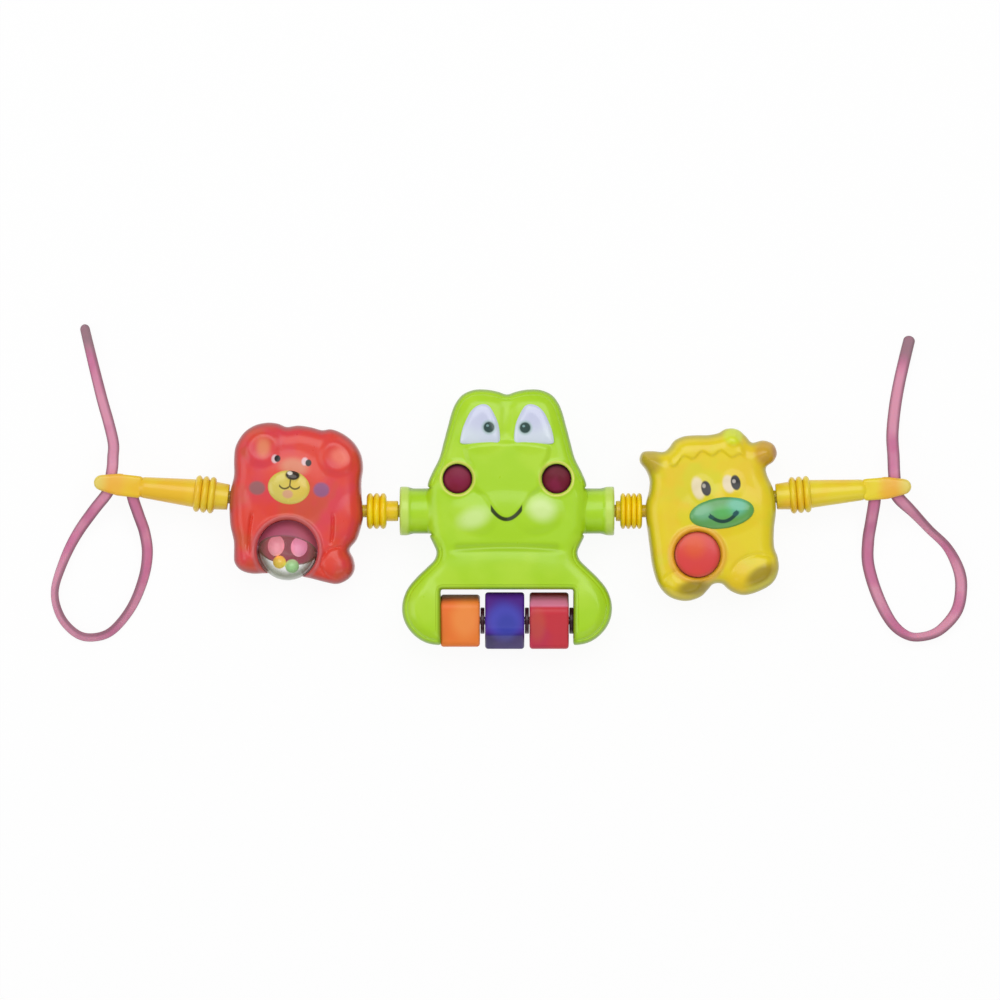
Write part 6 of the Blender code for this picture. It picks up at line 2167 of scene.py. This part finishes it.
@dataclass
class Cow(Animal):
    """The cow with its green muzzle and the round button."""

    name: str = "cow"
    place: Place = COW
    half_width: float = 32.5
    height: float = 35.4
    depth: float = 47.0
    button: Pair = (-9.75, -23.97)
    button_radius: float = 11.2
    button_gap: float = 0.35
    screw_spots: tuple[Pair, ...] = ((-19.5, 21.24), (19.5, 21.24), (16.25, -31.96))
    ears: tuple[Mound, ...] = (
        Mound(0.9, (-27.5, 23.0), (7.0, 6.0), 20.0),
        Mound(0.9, (31.0, 22.0), (7.0, 6.0), -15.0),
    )
    mounds: tuple[Mound, ...] = (
        Mound(1.3, (15.6, 32.0), (5.6, 5.6)),
        Mound(1.0, (4.8, -3.5), (24.0, 14.0)),
        Mound(0.6, (-3.4, 8.2), (7.0, 8.0)),
        Mound(0.6, (12.4, 8.6), (7.0, 8.0)),
    )
    feet: tuple[Mound, ...] = (
        Mound(1.3, (-17.0, -40.0), (13.0, 8.0)),
        Mound(1.3, (19.0, -37.5), (13.5, 9.0), 22.0),
    )
    body: Outline = field(init=False)

    def __post_init__(self) -> None:
        """Draw the outline."""
        path = flowing(share_points(COW_OUTLINE, self.half_width, self.height, self.depth))
        self.body = Outline(softened(path, 0.4))

    def front_height(self, places: Array, depth: Array) -> Array:
        """Shape the cow's face.

        Args:
            places: Points of the face.
            depth: Their distance from the edge.

        Returns:
            Heights.
        """
        x, y = places[:, 0], places[:, 1]
        within = eased(depth, 1.0, 5.0)
        level = raised(pillow(depth, 20.5, 29.4, 9.0, 2.2), within, places, self.ears)
        brow = 25.0 - 0.012 * x * x + 1.3 * np.cos((x + 1.0) * math.tau / 9.5)
        tuft = eased(y - brow, -0.4, 1.4) * (1.0 - eased(np.abs(x - 1.0), 17.0, 20.0))
        level = raised(level + within * tuft, within, places, (*self.mounds, *self.feet))
        for foot in self.feet:
            low = foot.centre[1]
            reach = np.hypot((x - foot.centre[0]) / 13.2, (y - low) / 9.6) - 1.0
            level = level - 0.6 * ridge(reach, 0.09) * eased(y, low, low + 5.0) * within
        ring = np.hypot(x - self.button[0], y - self.button[1]) - self.button_radius - self.button_gap
        return level + 0.9 * ridge(ring - 1.7, 1.2) - 0.6 * lip(ring, 0.7)

    def rear_height(self, places: Array, depth: Array) -> Array:
        """Shape the cow's back as if it looked up."""
        return back_face(depth)

    def build(self, rule: Recipe, steel: bpy.types.Material) -> None:
        """Make the cow's own pieces.

        Args:
            rule: The rule of the screw heads.
            steel: The screws' material.
        """
        widths = (0.45, 0.65, 0.85, 1.2, 1.7, 2.3, 3.0)
        details = [ellipse(self.button, (self.button_radius + d,) * 2, 110) for d in widths]
        face = (
            dot((204, 150, 40), (31.5, 22.0), (6.5, 6.5), 0.35, 0.8),
            dot((160, 100, 60), (37.0, 22.0), (3.0, 4.5), 0.5, 0.6),
            dot((188, 162, 52), (-28.5, 24.5), (6.5, 6.0), 0.4, 0.8),
            dot((214, 230, 30), (15.4, 32.5), (4.6, 4.2), 0.35, 0.85),
            PrintAndPaintedLight(Mark.RING, (240, 176, 62), self.button, (13.2, 13.2), line=0.12, soft=0.1, strength=0.75),
            dot((150, 126, 18), (-13.6, -40.2), (8.0, 3.6), 0.45, 0.85),
            dot((158, 132, 20), (20.3, -38.0), (8.0, 3.8), 0.45, 0.85, 24.0),
            dot((236, 220, 190), (-5.2, 8.8), (3.1, 5.6), 0.24, 0.85, 6.0),
            dot((236, 220, 196), (10.2, 9.0), (3.0, 4.4), 0.24, 0.85, 6.0),
            dot((12, 9, 6), (-1.3, 8.2), (2.4, 3.8), 0.14, 1.0, 4.0),
            dot((12, 9, 6), (13.7, 9.2), (2.4, 3.8), 0.14, 1.0, 4.0),
            # Painted highlights: small grey glints on the pupils.
            dot((190, 184, 170), (-2.2, 9.6), (0.9, 1.1), 0.35, 0.85),
            dot((196, 188, 180), (12.9, 10.0), (0.9, 1.0), 0.35, 0.85),
        )
        look = {"patch_scale": 55.0, "cloud": (216, 216, 30)}
        finishes = (
            # The third colour is painted shade, a deeper olive towards the outline.
            Plastic(
                "cow_yellow_front", (234, 212, 20), (236, 196, 28), (170, 160, 30), self.place, face, **look
            ),
            Plastic("cow_yellow_rear", (230, 208, 22), (232, 192, 30), None, self.place),
        )
        hole = self.button_radius + self.button_gap
        profile = [(14.0, 0.0), (14.0, 13.1), (27.5, 13.1), (27.5, hole), (36.0, hole), (36.0, 0.0)]
        room = lathe("button_room", profile, self.place, True, (*self.button, 0.0))
        guide = cylinder("guide", self.place, self.button, 2.6, 2.4, 18.0)
        edges = (self.body, self.body)
        self.shells(edges, (0.55, 2.0), details, ([room], [guide]), self.body, self.half_width, finishes)
        self._muzzle()
        self._button()
        self.screws(rule, steel, 16)

    def _muzzle(self) -> None:
        """Make the green muzzle with its printed smile and painted highlights."""
        outline = Outline(ellipse((4.88, -4.94), (16.2, 7.8), 220), 0.6)
        prints_and_painted_light = (
            # Painted highlights: the first two spots are pale highlights on the muzzle's sides.
            dot((104, 196, 168), (12.8, -2.6), (5.0, 4.2), 0.55, 0.8, 10.0),
            dot((122, 190, 150), (-4.4, -3.4), (5.0, 3.6), 0.55, 0.7),
            dot((86, 186, 92), (5.4, -4.4), (4.6, 3.0), 0.6, 0.7),
            PrintAndPaintedLight(Mark.CURVE, (14, 66, 54), (5.6, -9.2), (6.8, 0.0), line=0.9, soft=0.28, bend=0.078),
            dot((20, 84, 74), (-0.6, -6.3), (1.5, 1.0), 0.3, 1.0, -20.0),
            dot((20, 84, 84), (11.8, -6.0), (1.7, 1.2), 0.3, 1.0, 25.0),
        )
        green = Plastic("muzzle_green", (98, 166, 76), (88, 160, 98), None, self.place, prints_and_painted_light, 0.24, 0.3)
        self.dome("cow_muzzle_dome", "cow_muzzle", outline, (28.9, 30.0, 32.2), 7.0, 0.5, green)

    def _button(self) -> None:
        """Make the coral button with its flange and guide stem, and a painted shade round its edge."""
        radius, rim, crown = self.button_radius, 31.4, 1.6
        steps = (11.15, 11.0, 10.7, 10.2, 9.4, 8.2, 6.6, 4.6, 2.4)
        dome = [(rim + crown * math.sqrt(max(0.0, 1.0 - (r / radius) ** 2)), r) for r in steps]
        stem = [(9.5, 0.0), (9.5, 2.2), (26.1, 2.2)]
        flange = [(26.1, 12.7), (27.3, 12.7), (27.3, radius), (rim - 0.3, radius)]
        profile = [*stem, *flange, *dome, (rim + crown, 0.0)]
        button = lathe("cow_button_dome", profile, self.place, True, (*self.button, 0.0), 96)
        x, y = self.button
        prints_and_painted_light = (
            dot((232, 88, 28), (x - 1.0, y + 4.5), (5.0, 5.5), 0.6, 0.7),
            # Painted shade: a deeper ring round the dome's edge.
            PrintAndPaintedLight(Mark.RING, (190, 66, 30), self.button, (11.0, 11.0), line=0.09, soft=0.1, strength=0.7),
        )
        coral = Plastic("button_coral", (226, 68, 56), (220, 60, 70), None, self.place, prints_and_painted_light, 0.3, 0.15)
        place_on(dress(button, coral), "cow_button", "cow_belly_button")


@dataclass
class Spring:
    """The steel coil under the cow's button, with closed end turns."""

    node: str = "cow_button_spring"
    joint: str = "cow_button_press"
    wire: float = 0.35
    turns: float = 6.0
    closed_turns: float = 1.0
    steps: int = 40
    sides: int = 12
    travel: float = 2.5

    def build(self, steel: bpy.types.Material) -> None:
        """Coil the wire between the rear shell and the button's flange.

        Args:
            steel: The wire's material.
        """
        low, high = (np.array(corner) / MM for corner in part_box(self.node))
        radius = (high[0] - low[0]) / 2 - self.wire
        room = high[2] - low[2] - 2 * self.wire
        count = round(self.turns * self.steps) + 1
        turned = np.linspace(0.0, self.turns, count)
        from_end = np.minimum(turned, self.turns - turned)
        pitch = 2.05 * self.wire
        opening = eased(from_end, self.closed_turns * 0.7, self.closed_turns * 1.3)
        spare = (room - pitch * self.turns) * (count - 1) / (self.turns * opening[1:].sum())
        climb = np.cumsum(pitch + spare * opening)
        climb = (climb - climb[0]) / (climb[-1] - climb[0])
        angles = turned * math.tau
        outward = np.stack((np.cos(angles), np.sin(angles), np.zeros(count)), axis=1)
        centres = outward * radius + (low + high) / 2 * (1.0, 1.0, 0.0)
        centres[:, 2] = low[2] + self.wire + climb * room
        upward = unit(np.cross(outward, unit(np.gradient(centres, axis=0))))
        around = np.linspace(0.0, math.tau, self.sides, endpoint=False)[None, :, None]
        spread = np.cos(around) * outward[:, None, :] + np.sin(around) * upward[:, None, :]
        shape = (centres[:, None, :] + spread * self.wire).reshape(-1, 3)
        shape[:, 2] = np.clip(shape[:, 2], low[2], high[2])
        spring = smooth(new_piece("cow_button_coil", shape, tube_faces(count, self.sides), FROG), 60)
        place_on(dress(spring, steel), "cow", self.node)
        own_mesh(spring)


def rib_band(
    rule: Recipe,
    place: Place,
    start: float,
    length: float,
    ribs: int,
    radii: Pair,
    finish: bpy.types.Material,
) -> Piece:
    """Make a band of rounded ribs round a turned part.

    Args:
        rule: The rule of the ribs.
        place: Where the part is drawn from.
        start: Where the band starts on the part's axis.
        length: Its length.
        ribs: Number of ribs.
        radii: Radius in the grooves and on the crests.
        finish: Its material.

    Returns:
        The new object.
    """
    values = {
        "Length": length * MM,
        "Ribs": ribs,
        "Groove Radius": radii[0] * MM,
        "Crest Radius": radii[1] * MM,
        "Material": finish,
    }
    band = rule.make("ribs", values)
    move = place.matrix() @ Matrix.Translation((start, 0.0, 0.0))
    band.data.transform(Matrix.Scale(MM, 4) @ move @ Matrix.Scale(1.0 / MM, 4))
    return band


@dataclass
class Link:
    """A turned link with a ball at each end and ribs."""

    name: str
    body: str
    place: Place
    reach: float
    neck: float
    ribs: int
    rib_gap: float = 1.72
    collar: float = 5.1
    core: float = 6.4

    def build(self, rule: Recipe, finish: bpy.types.Material) -> None:
        """Make the link.

        Args:
            rule: The rule of the ribs.
            finish: The link's material.
        """
        far = self.reach + 2 * BALL_INSET
        face = BALL_INSET + 0.8
        start, end = face + self.neck, far - BALL_INSET - self.rib_gap
        profile = [*ball(1, 0.0), (face, STEM_RADIUS), (face, self.collar - 0.4), (face + 0.4, self.collar)]
        profile += [(start + 0.6, self.collar), (start + 0.6, self.core), (end - 0.6, self.core)]
        profile += [(end - 0.6, STEM_RADIUS), *ball(-1, far)]
        link = lathe(self.name, profile, self.place)
        band = rib_band(rule, self.place, start, end - start, self.ribs, (7.0, 9.0), finish)
        combine(link, [band], Join.ADD)
        place_on(dress(smooth(link, 40), finish), self.body, self.body.replace("_body", ""))


@dataclass
class EndClip:
    """An end clip with ribs, a tapered body and a flat head with two slots."""

    name: str
    body: str
    place: Place
    side: int
    reach: float = 68.6
    head_length: float = 24.4
    head_half: float = 5.6
    tip_half: float = 4.0
    half_height: float = 4.3
    rounding: float = 1.9
    ribs_length: float = 10.6
    slots: Pair = (49.8, 60.6)
    slot_half: float = 3.5
    slot_height: float = 1.8

    def _head(self) -> Piece:
        """Make the flat head.

        Returns:
            The new object.
        """
        tip = BALL_INSET + self.reach
        start = tip - self.head_length
        wide, narrow = self.head_half, self.tip_half
        lower = [(start, -wide * 0.8), (start + 1.2, -wide), (start + self.head_length / 2, -wide)]
        lower.append((tip - narrow, -narrow))
        angles = np.radians((-60, -30, 0, 30, 60))
        nose = [(tip - narrow + narrow * math.cos(a), narrow * math.sin(a)) for a in angles]
        path = softened(np.array([*lower, *nose, *[(x, -y) for x, y in reversed(lower)]]), 0.5)
        outline = Outline(path, 0.6)
        rings = []
        for angle in np.linspace(-math.pi / 2, math.pi / 2, 13):
            inset = self.rounding * (1.0 - math.cos(angle))
            flat = math.copysign(self.half_height - self.rounding, angle)
            level = flat + self.rounding * math.sin(angle) if angle else 0.0
            rings.append(np.column_stack((outline.inset(inset), np.full(len(outline.points), level))))
        return lofted("head", rings, self.place)

    def build(self, rule: Recipe, finish: bpy.types.Material) -> None:
        """Make the clip.

        Args:
            rule: The rule of the ribs.
            finish: The clip's material.
        """
        face, ribs_start = BALL_INSET + 0.8, BALL_INSET + 7.4
        ribs_end = ribs_start + self.ribs_length
        head_start = BALL_INSET + self.reach - self.head_length
        corners = (
            (face, STEM_RADIUS, 0.0),
            (face, 6.4, 0.5),
            (ribs_start + 0.5, 7.0, 0.4),
            (ribs_end - 0.5, 7.0, 0.4),
            (ribs_end + 0.8, 7.0, 0.6),
            (head_start, 5.2, 3.0),
            (head_start + 3.0, 3.6, 1.0),
            (head_start + 4.0, 0.0, 0.0),
        )
        clip = lathe(self.name, [*ball(1, 0.0), *eased_profile(corners)], self.place)
        band = rib_band(rule, self.place, ribs_start, self.ribs_length, 3, (7.1, 9.2), finish)
        combine(clip, [band, self._head()], Join.ADD)
        cutters = []
        half, level = self.slot_half, self.slot_height
        for middle in (BALL_INSET + distance for distance in self.slots):
            corners = ((middle - half, -12.0, -level), (middle + half, 12.0, level))
            cutters.append(box("slot", *corners, self.place))
        middle = BALL_INSET + self.slots[0]
        low, high = sorted((self.side * (self.head_half - 3.0), self.side * 12.0))
        cutters.append(box("pocket", (middle - 4.7, low, -3.3), (middle + 4.7, high, 3.3), self.place))
        combine(clip, cutters)
        place_on(dress(smooth(clip, 34), finish), self.body, self.body.replace("_clip", "_end_clip"))


def main() -> None:
    """Build the toy's pieces in order."""
    logging.basicConfig(level=logging.INFO, format="%(message)s")
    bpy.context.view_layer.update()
    Studio().build()
    vinyl = Vinyl().build()
    Strap("left_strap_ribbon", "left_clip", "left_strap", 0.2833, LEFT_ROUTE).build(vinyl)
    Strap("right_strap_ribbon", "right_clip", "right_strap", 0.2797, RIGHT_ROUTE, 0.0062).build(vinyl)
    steel = Steel().build()
    ribs, heads = rib_recipe(), screw_recipe()
    Frog().build(heads, steel)
    Blocks().build(steel)
    Bear().build(heads, steel)
    Rattle().build()
    Cow().build(heads, steel)
    Spring().build(steel)
    left = Plastic("link_yellow_left", (246, 220, 6), (248, 200, 12), None, LEFT_LINK).build()
    right = Plastic("link_yellow_right", (248, 210, 8), (250, 222, 14), None, RIGHT_LINK).build()
    Link("left_link_turned", "left_link_body", LEFT_LINK, 18.2, 5.8, 3).build(ribs, left)
    Link("right_link_turned", "right_link_body", RIGHT_LINK, 15.6, 2.2, 4).build(ribs, right)
    band = (
        PrintAndPaintedLight(Mark.BAND, (244, 160, 62), (65.0, 0.0), (5.0, 14.0), soft=3.5, strength=0.5),
        dot((226, 224, 132), (75.0, 0.0), (5.5, 6.0), 0.7, 0.5),
    )
    clips = (("left", LEFT_CLIP, -1, (238, 208, 46)), ("right", RIGHT_CLIP, 1, (238, 216, 38)))
    for word, place, side, colour in clips:
        finish = Plastic(f"clip_yellow_{word}", colour, (242, 178, 26), None, place, band).build()
        EndClip(f"{word}_clip_turned", f"{word}_clip", place, side).build(ribs, finish)
    for node in ("left_strap_stop", "right_strap_stop"):
        dress_solid(node, vinyl)


if __name__ == "__main__":
    main()
